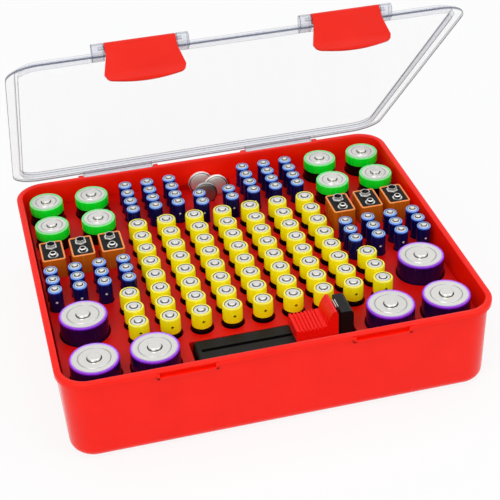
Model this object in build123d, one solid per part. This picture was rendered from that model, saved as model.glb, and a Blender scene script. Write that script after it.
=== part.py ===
from build123d import *
from dataclasses import dataclass
from math import radians, tan
import os

# Every length is in millimetres; the case stands on the XY plane with its front towards -Y.

# Case; its width and depth follow from the cells below
CASE_HEIGHT = 67.5
CORNER_RADIUS = 22.0
WALL = 2.2
FLOOR = 2.4
DRAFT_ANGLE = 1.5
BOTTOM_ROUND = 8.0
LIP_REACH = 2.6
LIP_HEIGHT = 4.0
LIP_EDGE = 0.8
OVERRUN = 1.0
SIDE_GAP = 0.4

# Insert tray
DECK_LEVEL = 49.0
DECK_PLATE = 2.4
SKIRT_WALL = 1.8
SKIRT_BOTTOM = 8.0
TRAY_GAP = 0.3
POCKET_FLOOR = 1.8
POCKET_WEB = 1.0
SEAT_GAP = 0.2
LEG_WIDTH = 2.4
EDGE = LIP_REACH + WALL + TRAY_GAP + SKIRT_WALL

# Round cells, each with the level it stands on and its play in the pocket
AA_RADIUS = 7.25
AA_HEIGHT = 50.5
AA_SEAT = 15.5
AA_PLAY = 1.15
AA_POCKET = AA_RADIUS + AA_PLAY
AAA_RADIUS = 5.25
AAA_HEIGHT = 44.5
AAA_SEAT = 22.9
AAA_PLAY = 0.5
AAA_POCKET = AAA_RADIUS + AAA_PLAY
C_RADIUS = 13.1
C_HEIGHT = 48.5
C_SEAT = 17.5
C_PLAY = 0.9
C_NUB_RADIUS = 3.4
C_POCKET = C_RADIUS + C_PLAY
D_RADIUS = 17.1
D_HEIGHT = 60.0
D_SEAT = 4.7
D_PLAY = 1.1
D_NUB_RADIUS = 4.6
D_POCKET = D_RADIUS + D_PLAY
NUB_HEIGHT = 1.5
SMALL_SIDES = 6
LARGE_SIDES = 8

# Block cells
BLOCK_WIDTH = 17.5
BLOCK_DEPTH = 26.5
BLOCK_HEIGHT = 46.0
BLOCK_SEAT = 18.7
BLOCK_GAP = 3.4
BLOCK_PLAY = 0.75
BLOCK_ROUND = 1.6
BLOCK_COUNT = 3
BLOCK_REACH_X = BLOCK_WIDTH / 2 + BLOCK_PLAY
BLOCK_REACH_Y = BLOCK_DEPTH / 2 + BLOCK_PLAY
BLOCK_PITCH = 2 * BLOCK_REACH_X + BLOCK_GAP
TERMINAL_HEIGHT = 2.5
TERMINAL_RADIUS = 2.9
SOCKET_RADIUS = 3.7
TERMINAL_PITCH = 12.7
TERMINAL_SIDES = 8

# Tester, in its own frame: x along it, -y its dial face, z up from the end it stands on
TESTER_LENGTH = 110.0
TESTER_HEIGHT = 40.0
TESTER_THICKNESS = 22.0
TESTER_SEAT = 9.5
TESTER_WALL = 2.0
TESTER_PLAY_X = 2.7
TESTER_PLAY_Y = 1.2
ARM_WIDTH = 9.0
ARM_HEIGHT = 19.5
ARM_ROUND = 3.0
TRACK_WIDTH = 3.0
TRACK_END = 4.0
SLIDER_LENGTH = 30.0
SLIDER_GAP = 2.0
SLIDER_HEIGHT = 9.5
SLIDER_LIFT = 0.4
JAW_LENGTH = 8.0
JAW_RISE = 11.0
JAW_CREST = 3.0
RIB_COUNT = 7
RIB_DEPTH = 1.2
RIB_EDGE = 2.0
STEM_PLAY = 0.4
FOOT_WIDTH = 8.0
FOOT_HEIGHT = 2.0
CONTACT_THICKNESS = 0.5
CONTACT_WIDTH = 9.0
CONTACT_PROUD = 0.6
END_CONTACT_SIZE = 6.0
END_CONTACT_PITCH = 15.0
END_CONTACT_THICKNESS = 0.6
TESTER_REACH_X = TESTER_LENGTH / 2 + TESTER_PLAY_X
TESTER_REACH_Y = TESTER_THICKNESS / 2 + TESTER_PLAY_Y
SLIDER_REST = TESTER_LENGTH / 2 - ARM_WIDTH - SLIDER_GAP - SLIDER_LENGTH

# Meter of the tester
WINDOW_WIDTH = 38.0
WINDOW_HEIGHT = 22.0
WINDOW_EDGE = 30.0
WINDOW_Z = 16.0
WINDOW_CORNER = 3.0
WINDOW_PANE = 1.2
WINDOW_PLAY = 0.1
CARD_MARGIN = 2.0
CARD_THICKNESS = 0.6
CARD_DEPTH = 4.4
NEEDLE_DROP = 3.0
NEEDLE_LENGTH = 15.0
NEEDLE_WIDTH = 0.9
NEEDLE_THICKNESS = 0.5
NEEDLE_REST_ANGLE = 35.0
HUB_RADIUS = 1.6
HUB_LENGTH = 1.4
SHAFT_RADIUS = 0.7
SHAFT_DEPTH = 4.0
CARD_HOLE = 1.2
COVER_RADIUS = 7.0
COVER_THICKNESS = 0.8
COVER_GAP = 0.2
MOVEMENT_SIZE = 18.0
MOVEMENT_DEPTH = 7.0
RESISTOR_RADIUS = 2.5
RESISTOR_LENGTH = 14.0
RESISTOR_EDGE = 30.0
WINDOW_X = TESTER_LENGTH / 2 - WINDOW_EDGE
RESISTOR_X = -TESTER_LENGTH / 2 + RESISTOR_EDGE

# Plan of the tray: the middle cells and the tester set the case, the side groups share the room left
AA_COLUMNS = 7
AA_ROWS = 8
AA_SIDE_ROWS = 3
AA_GAP_X = 5.5
AA_GAP_Y = 1.0
AA_TESTER_GAP = 6.2
AA_D_GAP = 9.2
AAA_PITCH_X = 18.0
AAA_PITCH_Y = 12.6
AAA_SIDE_COLUMNS = 4
AAA_SIDE_ROWS = 3
AAA_BACK_COLUMNS = 3
AAA_BACK_ROWS = 4
AAA_BACK_GAP = 6.25
AAA_EDGE = 9.25
TESTER_EDGE = 17.4
D_EDGE = 3.4
C_GAP = 8.2
C_EDGE = 1.4
PAIR_COUNT = 2
AA_PITCH_X = 2 * AA_POCKET + AA_GAP_X
AA_PITCH_Y = 2 * AA_POCKET + AA_GAP_Y
AAA_SIDE_REACH = AAA_PITCH_Y * (AAA_SIDE_ROWS - 1) / 2 + AAA_POCKET
AAA_BACK_REACH_X = AAA_PITCH_X * (AAA_BACK_COLUMNS - 1) / 2 + AAA_POCKET
AAA_BACK_REACH_Y = AAA_PITCH_Y * (AAA_BACK_ROWS - 1) / 2 + AAA_POCKET
C_PITCH = 2 * C_POCKET + C_GAP
C_REACH = C_PITCH / 2 + C_POCKET

# Across the case, from the middle out
AA_SIDE_X = AA_PITCH_X * (AA_COLUMNS + 1) / 2
D_OUTER_X = AA_SIDE_X + AA_POCKET + AA_D_GAP + D_POCKET
CASE_WIDTH = 2 * (D_OUTER_X + D_POCKET + D_EDGE + EDGE)
SIDE_X = CASE_WIDTH / 2 - EDGE - C_EDGE - C_REACH
D_FREE_X = D_OUTER_X - TESTER_REACH_X - 3 * D_POCKET
D_GAP_SHARE = 0.378
D_PITCH_X = 2 * D_POCKET + D_FREE_X * D_GAP_SHARE

# Along the case, from the front back
AA_DEPTH = AA_PITCH_Y * (AA_ROWS - 1)
AA_FROM_TESTER = TESTER_REACH_Y + AA_TESTER_GAP + AA_POCKET
AAA_FROM_AA = AA_POCKET + AAA_BACK_GAP + AAA_BACK_REACH_Y
FRONT_TO_TESTER = EDGE + TESTER_EDGE + TESTER_REACH_Y
AAA_TO_BACK = AAA_BACK_REACH_Y + AAA_EDGE + EDGE
CASE_DEPTH = FRONT_TO_TESTER + AA_FROM_TESTER + AA_DEPTH + AAA_FROM_AA + AAA_TO_BACK
TESTER_Y = FRONT_TO_TESTER - CASE_DEPTH / 2
AA_FRONT_Y = TESTER_Y + AA_FROM_TESTER
AA_BACK_Y = AA_FRONT_Y + AA_DEPTH
AA_MIDDLE_Y = AA_FRONT_Y + AA_DEPTH / 2
AA_SIDE_Y = AA_FRONT_Y + AA_PITCH_Y * (AA_SIDE_ROWS - 1) / 2
AAA_BACK_Y = AA_BACK_Y + AAA_FROM_AA

# The gaps of a side group, front to back, as shares of the depth that its pockets leave free
SIDE_FREE = CASE_DEPTH - 2 * EDGE - 4 * D_POCKET - 2 * AAA_SIDE_REACH - 2 * BLOCK_REACH_Y - 2 * C_REACH
D_FRONT_SHARE = 0.116
D_SECOND_SHARE = 0.286
AAA_SIDE_SHARE = 0.197
BLOCK_SHARE = 0.151
C_SHARE = 0.124
D_FRONT_Y = -CASE_DEPTH / 2 + EDGE + SIDE_FREE * D_FRONT_SHARE + D_POCKET
D_SECOND_Y = D_FRONT_Y + 2 * D_POCKET + SIDE_FREE * D_SECOND_SHARE
AAA_SIDE_Y = D_SECOND_Y + D_POCKET + SIDE_FREE * AAA_SIDE_SHARE + AAA_SIDE_REACH
BLOCK_Y = AAA_SIDE_Y + AAA_SIDE_REACH + SIDE_FREE * BLOCK_SHARE + BLOCK_REACH_Y
C_Y = BLOCK_Y + BLOCK_REACH_Y + SIDE_FREE * C_SHARE + C_REACH

# Well for the coin cells in the back of the tray, with four round cells in its front half
WELL_WIDTH = 42.0
WELL_GAP = 0.9
WELL_EDGE = 1.1
WELL_DEPTH = 5.0
AAA_WELL_PITCH = 24.0
AAA_WELL_EDGE = 0.45
AAA_BACK_SHARE = 0.316
WELL_FRONT = AA_BACK_Y + AA_POCKET + WELL_GAP
WELL_BACK = CASE_DEPTH / 2 - EDGE - WELL_EDGE
AAA_WELL_Y = WELL_FRONT + AAA_WELL_EDGE + AAA_POCKET + AAA_PITCH_Y / 2
AAA_BACK_FREE = SIDE_X - C_REACH - WELL_WIDTH / 2 - 2 * AAA_BACK_REACH_X
AAA_BACK_X = WELL_WIDTH / 2 + AAA_BACK_FREE * AAA_BACK_SHARE + AAA_BACK_REACH_X
COIN_RADIUS = 10.0
COIN_THICKNESS = 3.2
COIN_SINK = 3.0
COIN_PLAY = 0.3
COIN_SIDES = 12
COIN_STEP = 9.0
COIN_LEFT = -3.0
COIN_RIGHT = 8.0
COIN_EDGE = 4.0
COIN_ROW = [(COIN_LEFT, 2), (COIN_RIGHT, 1), (COIN_LEFT, 0)]
COIN_SPOTS = [(x, WELL_BACK - COIN_EDGE - step * COIN_STEP) for x, step in COIN_ROW]

# Lid
LID_SEAT_GAP = 0.3
LID_OPEN_ANGLE = 45.0
FLANGE_WIDTH = 6.0
FLANGE_THICKNESS = 2.2
LID_DEPTH = 4.0
LID_PANEL = 2.0
LID_WALL = 2.0
LID_DRAFT = 5.0
LID_ROUND = 1.6
FLANGE_BOTTOM = CASE_HEIGHT + LID_SEAT_GAP
FLANGE_TOP = FLANGE_BOTTOM + FLANGE_THICKNESS

# Hinges
HINGE_X = 68.0
HINGE_WIDTH = 57.0
HINGE_RADIUS = 3.0
HINGE_OUT = 1.2
HINGE_DROP = 3.1
EAR_WIDTH = 4.0
EAR_GUSSET = 9.0
PIN_RADIUS = 1.2
PIN_PLAY = 0.05
TONGUE_LAP = 1.0
HINGE_Y = CASE_DEPTH / 2 + HINGE_OUT
HINGE_Z = CASE_HEIGHT - HINGE_DROP
HINGE_LINE = Axis((0, HINGE_Y, HINGE_Z), (-1, 0, 0))

# Latches and their catches, as they stand on the closed case
LATCH_X = 67.5
LATCH_TOP_WIDTH = 45.5
LATCH_END_WIDTH = 52.0
LATCH_RADIUS = 3.4
LATCH_PLATE = 2.3
LATCH_GAP = 0.5
LATCH_DROP = 23.0
LATCH_BOW = 3.5
LATCH_CORNER = 5.0
LATCH_CURL = 5.5
LATCH_FLARE = 2.6
KNUCKLE_WIDTH = 8.0
KNUCKLE_FOOT = 8.0
KNUCKLE_LIFT = 0.4
CATCH_WIDTH = 42.0
CATCH_GROOVE = 3.9
CATCH_GROOVE_DEPTH = 2.0
CATCH_TOP_EDGE = 0.8
CATCH_BAR = 2.0
CATCH_REACH = 0.2
HOOK_HEIGHT = 1.8
HOOK_GAP = 0.3
HOOK_BITE = 1.0
LATCH_FACE = -CASE_DEPTH / 2 - LATCH_GAP
LATCH_Y = LATCH_FACE - LATCH_PLATE + LATCH_RADIUS
LATCH_Z = FLANGE_TOP + KNUCKLE_LIFT + LATCH_RADIUS
BAR_TOP = CASE_HEIGHT - CATCH_TOP_EDGE - CATCH_GROOVE
BAR_BOTTOM = BAR_TOP - CATCH_BAR

@dataclass
class RoundCell:
    """One size of round cell: its can, its nub, the level it stands on and where the cells stand."""

    radius: float
    height: float
    seat: float
    pocket: float
    sides: int
    places: list
    nub_radius: float = 0


def grid(pitch_x, pitch_y, columns, rows, middle_x, middle_y):
    """Places of a grid of cells round a middle point."""
    return [Pos(middle_x, middle_y) * place for place in GridLocations(pitch_x, pitch_y, columns, rows)]


def both_sides(pitch_x, pitch_y, columns, rows, middle_x, middle_y):
    """The same grid on the left and on the right of the case."""
    left = grid(pitch_x, pitch_y, columns, rows, -middle_x, middle_y)
    return left + grid(pitch_x, pitch_y, columns, rows, middle_x, middle_y)


# Where the cells stand
AA_FIELD = grid(AA_PITCH_X, AA_PITCH_Y, AA_COLUMNS, AA_ROWS, 0, AA_MIDDLE_Y)
AA_SIDES = both_sides(0, AA_PITCH_Y, 1, AA_SIDE_ROWS, AA_SIDE_X, AA_SIDE_Y)
AAA_SIDES = both_sides(AAA_PITCH_X, AAA_PITCH_Y, AAA_SIDE_COLUMNS, AAA_SIDE_ROWS, SIDE_X, AAA_SIDE_Y)
AAA_BACK = both_sides(AAA_PITCH_X, AAA_PITCH_Y, AAA_BACK_COLUMNS, AAA_BACK_ROWS, AAA_BACK_X, AAA_BACK_Y)
AAA_WELL = grid(AAA_WELL_PITCH, AAA_PITCH_Y, PAIR_COUNT, PAIR_COUNT, 0, AAA_WELL_Y)
C_PLACES = both_sides(C_PITCH, C_PITCH, PAIR_COUNT, PAIR_COUNT, SIDE_X, C_Y)
D_FRONT = both_sides(D_PITCH_X, 0, PAIR_COUNT, 1, D_OUTER_X - D_PITCH_X / 2, D_FRONT_Y)
D_SECOND = both_sides(0, 0, 1, 1, D_OUTER_X, D_SECOND_Y)
BLOCK_PLACES = both_sides(BLOCK_PITCH, 0, BLOCK_COUNT, 1, SIDE_X, BLOCK_Y)

AA = RoundCell(AA_RADIUS, AA_HEIGHT, AA_SEAT, AA_POCKET, SMALL_SIDES, AA_FIELD + AA_SIDES)
AAA = RoundCell(AAA_RADIUS, AAA_HEIGHT, AAA_SEAT, AAA_POCKET, LARGE_SIDES, AAA_SIDES + AAA_BACK + AAA_WELL)
C_SIZE = RoundCell(C_RADIUS, C_HEIGHT, C_SEAT, C_POCKET, LARGE_SIDES, C_PLACES, C_NUB_RADIUS)
D_SIZE = RoundCell(D_RADIUS, D_HEIGHT, D_SEAT, D_POCKET, LARGE_SIDES, D_FRONT + D_SECOND, D_NUB_RADIUS)


def wall_block(inset, top, bottom):
    """A block with the drafted outline of the case wall, moved in by the inset, between two levels."""
    lean = 2 * (top - CASE_HEIGHT) * tan(radians(DRAFT_ANGLE))
    shrink = 2 * (LIP_REACH + inset) - lean
    outline = RectangleRounded(CASE_WIDTH - shrink, CASE_DEPTH - shrink, CORNER_RADIUS - LIP_REACH - inset)
    return extrude(Pos(0, 0, top) * outline, amount=bottom - top, taper=DRAFT_ANGLE)


def tray_block(inset, top, bottom):
    """A straight block that clears the case wall down to the tray's foot, moved in by the inset."""
    lean = 2 * (CASE_HEIGHT - FLOOR) * tan(radians(DRAFT_ANGLE))
    shrink = 2 * (LIP_REACH + WALL + TRAY_GAP + inset)
    corner = CORNER_RADIUS - LIP_REACH - WALL - TRAY_GAP - inset
    outline = RectangleRounded(CASE_WIDTH - shrink - lean, CASE_DEPTH - shrink - lean, corner)
    return extrude(Pos(0, 0, bottom) * outline, amount=top - bottom)


def box_between(low, high):
    """A box given by two opposite corners."""
    size = Vector(*high) - Vector(*low)
    middle = (Vector(*low) + Vector(*high)) / 2
    return Pos(middle) * Box(size.X, size.Y, size.Z)


def prism(radius, sides, low, high, inside=False):
    """An upright prism; its corners lie on the radius, or its flats when it is an inside."""
    turn = 180 / sides if sides % 4 == 0 else 0
    outline = RegularPolygon(radius, sides, major_radius=not inside, rotation=turn)
    return extrude(Pos(0, 0, low) * outline, amount=high - low)


def along_x(outline, middle_x, width):
    """A YZ outline made solid along X, centred on middle_x."""
    return extrude(Plane.YZ.offset(middle_x - width / 2) * outline, amount=width)


def rod(radius, y, z, middle_x, length):
    """A round rod lying along X."""
    return along_x(Pos(y, z) * Circle(radius), middle_x, length)


# Base shell

def hinge_ear(middle_x):
    """One ear on the back wall that carries an end of a moulded hinge pin."""
    wall_y = CASE_DEPTH / 2 - LIP_REACH - WALL / 2
    top = HINGE_Z + HINGE_RADIUS
    web = Polygon(
        (wall_y, HINGE_Z - EAR_GUSSET), (HINGE_Y, HINGE_Z - HINGE_RADIUS), (HINGE_Y, top), (wall_y, top),
        align=None,
    )
    outline = web + Pos(HINGE_Y, HINGE_Z) * Circle(HINGE_RADIUS)
    return along_x(outline, middle_x, EAR_WIDTH)


def catch_bar(middle_x):
    """The bar under the lip that a latch hooks under."""
    wall_y = -CASE_DEPTH / 2 + LIP_REACH + WALL / 2
    front = -CASE_DEPTH / 2 - CATCH_REACH
    low = (middle_x - CATCH_WIDTH / 2, front, BAR_BOTTOM)
    return box_between(low, (middle_x + CATCH_WIDTH / 2, wall_y, BAR_TOP))


def catch_groove(middle_x):
    """The groove in the lip face above a catch bar."""
    front = -CASE_DEPTH / 2
    low = (middle_x - CATCH_WIDTH / 2, front - OVERRUN, BAR_TOP)
    return box_between(low, (middle_x + CATCH_WIDTH / 2, front + CATCH_GROOVE_DEPTH, BAR_TOP + CATCH_GROOVE))


def hinge_notch(middle_x):
    """The gap in the back lip that the lid tongue swings in."""
    half = HINGE_WIDTH / 2 + SIDE_GAP
    back = CASE_DEPTH / 2
    low = (middle_x - half, back - LIP_REACH, CASE_HEIGHT - LIP_HEIGHT - OVERRUN)
    return box_between(low, (middle_x + half, back + OVERRUN, CASE_HEIGHT + OVERRUN))


def base_shell():
    """The lower case: drafted walls, rounded bottom, rim lip, catches in front, hinge ears behind."""
    outer = wall_block(0, CASE_HEIGHT, 0)
    outer = fillet(outer.edges().group_by(Axis.Z)[0], BOTTOM_ROUND)
    lip = Pos(0, 0, CASE_HEIGHT) * RectangleRounded(CASE_WIDTH, CASE_DEPTH, CORNER_RADIUS)
    lip = extrude(lip, amount=-LIP_HEIGHT)
    lip = chamfer(lip.edges().group_by(Axis.Z)[-1], LIP_EDGE)
    cavity = wall_block(WALL, CASE_HEIGHT + OVERRUN, FLOOR)
    shell = outer + lip
    ear_step = HINGE_WIDTH / 2 + SIDE_GAP + EAR_WIDTH / 2
    for side in (-1, 1):
        shell += catch_bar(side * LATCH_X)
        shell -= catch_groove(side * LATCH_X)
        shell -= hinge_notch(side * HINGE_X)
        shell += [hinge_ear(side * HINGE_X - ear_step), hinge_ear(side * HINGE_X + ear_step)]
        shell += rod(PIN_RADIUS, HINGE_Y, HINGE_Z, side * HINGE_X, HINGE_WIDTH + EAR_WIDTH)
    return shell - cavity


# Insert tray

def zone(places, reach_x, reach_y, seat):
    """The block of the tray round one group of pockets, from under the pocket floors up to the deck."""
    xs = [place.position.X for place in places]
    ys = [place.position.Y for place in places]
    low = (min(xs) - reach_x, min(ys) - reach_y, seat - POCKET_FLOOR)
    return box_between(low, (max(xs) + reach_x, max(ys) + reach_y, DECK_LEVEL - DECK_PLATE / 2))


def left_and_right(places):
    """Splits places into those on the left and those on the right."""
    left = [place for place in places if place.position.X < 0]
    return left, [place for place in places if place.position.X > 0]


def side_zone(places, reach_x, reach_y, seat):
    """The blocks on both sides round a group of pockets, joined to the skirt beside them."""
    blocks = []
    for half in left_and_right(places):
        block = zone(half, reach_x, reach_y, seat)
        out = block.bounding_box()
        edge = CASE_WIDTH / 2 if out.center().X > 0 else -CASE_WIDTH / 2
        low = (min(out.min.X, edge), out.min.Y, out.min.Z)
        blocks.append(box_between(low, (max(out.max.X, edge), out.max.Y, out.max.Z)))
    return blocks


def cell_zones(cell, places):
    """The blocks on both sides round a group of round pockets."""
    reach = cell.pocket + POCKET_WEB
    return side_zone(places, reach, reach, cell.seat)


def cell_pockets(cell):
    """The pockets of one size of round cell."""
    tool = prism(cell.pocket, cell.sides, cell.seat, DECK_LEVEL + OVERRUN, inside=True)
    return [place * tool for place in cell.places]


def block_pockets():
    """The square pockets of the block cells."""
    low = (-BLOCK_REACH_X, -BLOCK_REACH_Y, BLOCK_SEAT)
    tool = box_between(low, (BLOCK_REACH_X, BLOCK_REACH_Y, DECK_LEVEL + OVERRUN))
    return [place * tool for place in BLOCK_PLACES]


def tester_slot(grow, floor_level, top):
    """The slot of the tester, or with grow the block round it."""
    half_x = TESTER_REACH_X + grow
    half_y = TESTER_REACH_Y + grow
    low = (-half_x, TESTER_Y - half_y, floor_level - grow)
    return box_between(low, (half_x, TESTER_Y + half_y, top))


def well(grow, floor_level, top):
    """The sunken well of the coin cells, or with grow the block round it."""
    half = WELL_WIDTH / 2 + grow
    return box_between((-half, WELL_FRONT - grow, floor_level - grow), (half, WELL_BACK + grow, top))


def coin_slot(x, y):
    """The slot that one coin cell stands in."""
    length = COIN_RADIUS + COIN_RADIUS / 2
    width = COIN_THICKNESS + 2 * COIN_PLAY
    floor_level = DECK_LEVEL - WELL_DEPTH
    low = (x - length / 2, y - width / 2, floor_level - COIN_SINK)
    return box_between(low, (x + length / 2, y + width / 2, floor_level + OVERRUN))


def tray_legs():
    """Ribs under the blocks at the back that carry the tray on the floor of the case."""
    legs = []
    for half in left_and_right(C_PLACES):
        middle = sum((place.position for place in half), Vector()) / len(half)
        for size_x, size_y in ((C_PITCH, LEG_WIDTH), (LEG_WIDTH, C_PITCH)):
            low = (middle.X - size_x / 2, middle.Y - size_y / 2, FLOOR + SEAT_GAP)
            legs.append(box_between(low, (middle.X + size_x / 2, middle.Y + size_y / 2, C_SEAT)))
    return legs


def insert_tray():
    """The tray: a deck with a skirt, a block under each group of cells and a pocket for every cell."""
    deck = tray_block(0, DECK_LEVEL, SKIRT_BOTTOM)
    deck -= tray_block(SKIRT_WALL, DECK_LEVEL - DECK_PLATE, SKIRT_BOTTOM - OVERRUN)
    inside = tray_block(0, DECK_LEVEL, FLOOR + SEAT_GAP)
    aa_reach = AA_POCKET + 2 * POCKET_WEB
    well_floor = DECK_LEVEL - WELL_DEPTH
    blocks = [zone(AA_FIELD, aa_reach, aa_reach, AA_SEAT), zone(AA_SIDES, aa_reach, aa_reach, AA_SEAT)]
    blocks += cell_zones(AAA, AAA_SIDES) + cell_zones(C_SIZE, C_PLACES)
    blocks += cell_zones(D_SIZE, D_FRONT) + cell_zones(D_SIZE, D_SECOND)
    blocks += side_zone(BLOCK_PLACES, BLOCK_REACH_X + POCKET_WEB, BLOCK_REACH_Y + POCKET_WEB, BLOCK_SEAT)
    aaa_reach = AAA_POCKET + POCKET_WEB
    blocks += [zone(half, aaa_reach, aaa_reach, AAA_SEAT) for half in left_and_right(AAA_BACK)]
    blocks.append(zone(AAA_WELL, aaa_reach, AAA_POCKET, AAA_SEAT))
    blocks.append(tester_slot(POCKET_FLOOR, TESTER_SEAT - SEAT_GAP, DECK_LEVEL - DECK_PLATE / 2))
    blocks.append(well(POCKET_WEB, well_floor - COIN_SINK, DECK_LEVEL - DECK_PLATE / 2))
    tools = cell_pockets(AA) + cell_pockets(AAA) + cell_pockets(C_SIZE) + cell_pockets(D_SIZE)
    tools += block_pockets()
    tools.append(tester_slot(0, TESTER_SEAT - SEAT_GAP, DECK_LEVEL + OVERRUN))
    tools.append(well(0, well_floor, DECK_LEVEL + OVERRUN))
    tools += [coin_slot(x, y) for x, y in COIN_SPOTS]
    return deck + [block & inside for block in blocks] + tray_legs() - tools


# Cells

def round_cells(cell):
    """All cells of one round size, each a can with its nub where the size has one."""
    can = prism(cell.radius, cell.sides, cell.seat + SEAT_GAP, cell.seat + cell.height)
    if cell.nub_radius:
        top = cell.seat + cell.height
        can += prism(cell.nub_radius, SMALL_SIDES, top - OVERRUN, top + NUB_HEIGHT)
    return [place * can for place in cell.places]


def block_cells():
    """The block cells, each with a round stud and a wider socket terminal on top."""
    body = Pos(0, 0, BLOCK_SEAT + SEAT_GAP) * Rectangle(BLOCK_WIDTH, BLOCK_DEPTH)
    body = extrude(body, amount=BLOCK_HEIGHT - SEAT_GAP)
    body = chamfer(body.edges().filter_by(Axis.Z), BLOCK_ROUND)
    top = BLOCK_SEAT + BLOCK_HEIGHT
    for radius, side in ((TERMINAL_RADIUS, -1), (SOCKET_RADIUS, 1)):
        stud = prism(radius, TERMINAL_SIDES, top - OVERRUN, top + TERMINAL_HEIGHT)
        body += Pos(0, side * TERMINAL_PITCH / 2, 0) * stud
    return [place * body for place in BLOCK_PLACES]


def coin_cells():
    """The coin cells standing on edge in their slots."""
    height = DECK_LEVEL - WELL_DEPTH - COIN_SINK + SEAT_GAP + COIN_RADIUS
    coin = Rot(90, 0, 0) * prism(COIN_RADIUS, COIN_SIDES, -COIN_THICKNESS / 2, COIN_THICKNESS / 2)
    return [Pos(x, y, height) * coin for x, y in COIN_SPOTS]


# Lid and latches, modelled on the closed case and then swung open

def swing_open(piece):
    """Turns a piece of the lid from the closed case to the open stand."""
    return piece.rotate(HINGE_LINE, LID_OPEN_ANGLE)


def latch_knuckle(middle_x):
    """One block on the lid flange that carries an end of a moulded latch pin."""
    foot = -CASE_DEPTH / 2 + KNUCKLE_FOOT
    web = Polygon(
        (LATCH_Y, FLANGE_BOTTOM), (foot, FLANGE_BOTTOM), (foot, FLANGE_TOP),
        (LATCH_Y, LATCH_Z + LATCH_RADIUS),
        align=None,
    )
    outline = web + Pos(LATCH_Y, LATCH_Z) * Circle(LATCH_RADIUS)
    return along_x(outline, middle_x, KNUCKLE_WIDTH)


def hinge_tongue(middle_x):
    """The tongue behind the lid that wraps round a hinge pin."""
    lap = CASE_DEPTH / 2 - TONGUE_LAP
    inner = HINGE_Y - HINGE_RADIUS / 2
    outer = HINGE_Y + HINGE_RADIUS
    outline = Polygon(
        (lap, FLANGE_BOTTOM), (inner, FLANGE_BOTTOM), (inner, HINGE_Z), (outer, HINGE_Z),
        (outer, FLANGE_BOTTOM - SIDE_GAP), (HINGE_Y + HINGE_OUT, FLANGE_TOP), (lap, FLANGE_TOP), align=None,
    )
    outline += Pos(HINGE_Y, HINGE_Z) * Circle(HINGE_RADIUS)
    outline -= Pos(HINGE_Y, HINGE_Z) * Circle(PIN_RADIUS + PIN_PLAY)
    return along_x(outline, middle_x, HINGE_WIDTH)


def lid():
    """The clear lid: a flange on the rim, a shallow drafted pan, hinge tongues, latch knuckles and pins."""
    base = Pos(0, 0, FLANGE_BOTTOM)
    flange = extrude(base * RectangleRounded(CASE_WIDTH, CASE_DEPTH, CORNER_RADIUS), amount=FLANGE_THICKNESS)
    width = CASE_WIDTH - 2 * FLANGE_WIDTH
    depth = CASE_DEPTH - 2 * FLANGE_WIDTH
    radius = CORNER_RADIUS - FLANGE_WIDTH
    outline = base * RectangleRounded(width, depth, radius)
    pan = extrude(outline, amount=LID_DEPTH + LID_PANEL, taper=LID_DRAFT)
    pan = fillet(pan.edges().group_by(Axis.Z)[-1], LID_ROUND)
    mouth = RectangleRounded(width - 2 * LID_WALL, depth - 2 * LID_WALL, radius - LID_WALL)
    hollow = extrude(base * mouth, amount=LID_DEPTH, taper=LID_DRAFT)
    cover = flange + pan - hollow
    knuckle_step = LATCH_TOP_WIDTH / 2 + SIDE_GAP + KNUCKLE_WIDTH / 2
    for side in (-1, 1):
        cover += hinge_tongue(side * HINGE_X)
        cover += [latch_knuckle(side * LATCH_X - knuckle_step), latch_knuckle(side * LATCH_X + knuckle_step)]
        cover += rod(PIN_RADIUS, LATCH_Y, LATCH_Z, side * LATCH_X, LATCH_TOP_WIDTH + KNUCKLE_WIDTH)
    return swing_open(cover)


def latch_profile():
    """A latch seen from its side: a barrel, a plate down its front, a hook and a curled end."""
    face = LATCH_FACE
    front = face - LATCH_PLATE
    end = LATCH_Z - LATCH_DROP
    curl = end + LATCH_CURL
    hook_top = BAR_BOTTOM - HOOK_GAP
    hook_tip = -CASE_DEPTH / 2 - CATCH_REACH + HOOK_BITE
    with BuildSketch() as profile:
        with BuildLine():
            Line((front, LATCH_Z), (front, curl))
            TangentArc((front, curl), (front - LATCH_FLARE, end), tangent=(0, -1))
            Line((front - LATCH_FLARE, end), (face - LATCH_FLARE, end - LATCH_PLATE / 2))
            TangentArc((face, curl), (face - LATCH_FLARE, end - LATCH_PLATE / 2), tangent=(0, -1))
            Line((face, curl), (face, LATCH_Z))
            Line((face, LATCH_Z), (front, LATCH_Z))
        make_face()
    hook = Polygon(
        (face - OVERRUN, hook_top - HOOK_HEIGHT), (face, hook_top - HOOK_HEIGHT),
        (hook_tip, hook_top - HOOK_HEIGHT / 2), (hook_tip, hook_top), (face - OVERRUN, hook_top), align=None,
    )
    barrel = Pos(LATCH_Y, LATCH_Z) * Circle(LATCH_RADIUS)
    bore = Pos(LATCH_Y, LATCH_Z) * Circle(PIN_RADIUS + PIN_PLAY)
    return profile.sketch + barrel - bore, hook


def latch_front(middle_x):
    """A latch seen from the front: flaring downwards to rounded corners and a bowed end."""
    top = LATCH_Z + LATCH_RADIUS
    corner = LATCH_Z - LATCH_DROP
    half_top = LATCH_TOP_WIDTH / 2
    half_end = LATCH_END_WIDTH / 2
    with BuildSketch() as front:
        with BuildLine():
            Polyline((half_end, corner), (half_top, FLANGE_BOTTOM), (half_top, top), (-half_top, top),
                     (-half_top, FLANGE_BOTTOM), (-half_end, corner))
            ThreePointArc((-half_end, corner), (0, corner - LATCH_BOW), (half_end, corner))
        make_face()
        fillet(front.vertices().group_by(Axis.Y)[0], LATCH_CORNER)
    outline = Plane.XZ.offset(CASE_DEPTH / 2 - CORNER_RADIUS) * Pos(middle_x, 0) * front.sketch
    return extrude(outline, amount=2 * CORNER_RADIUS)


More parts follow.
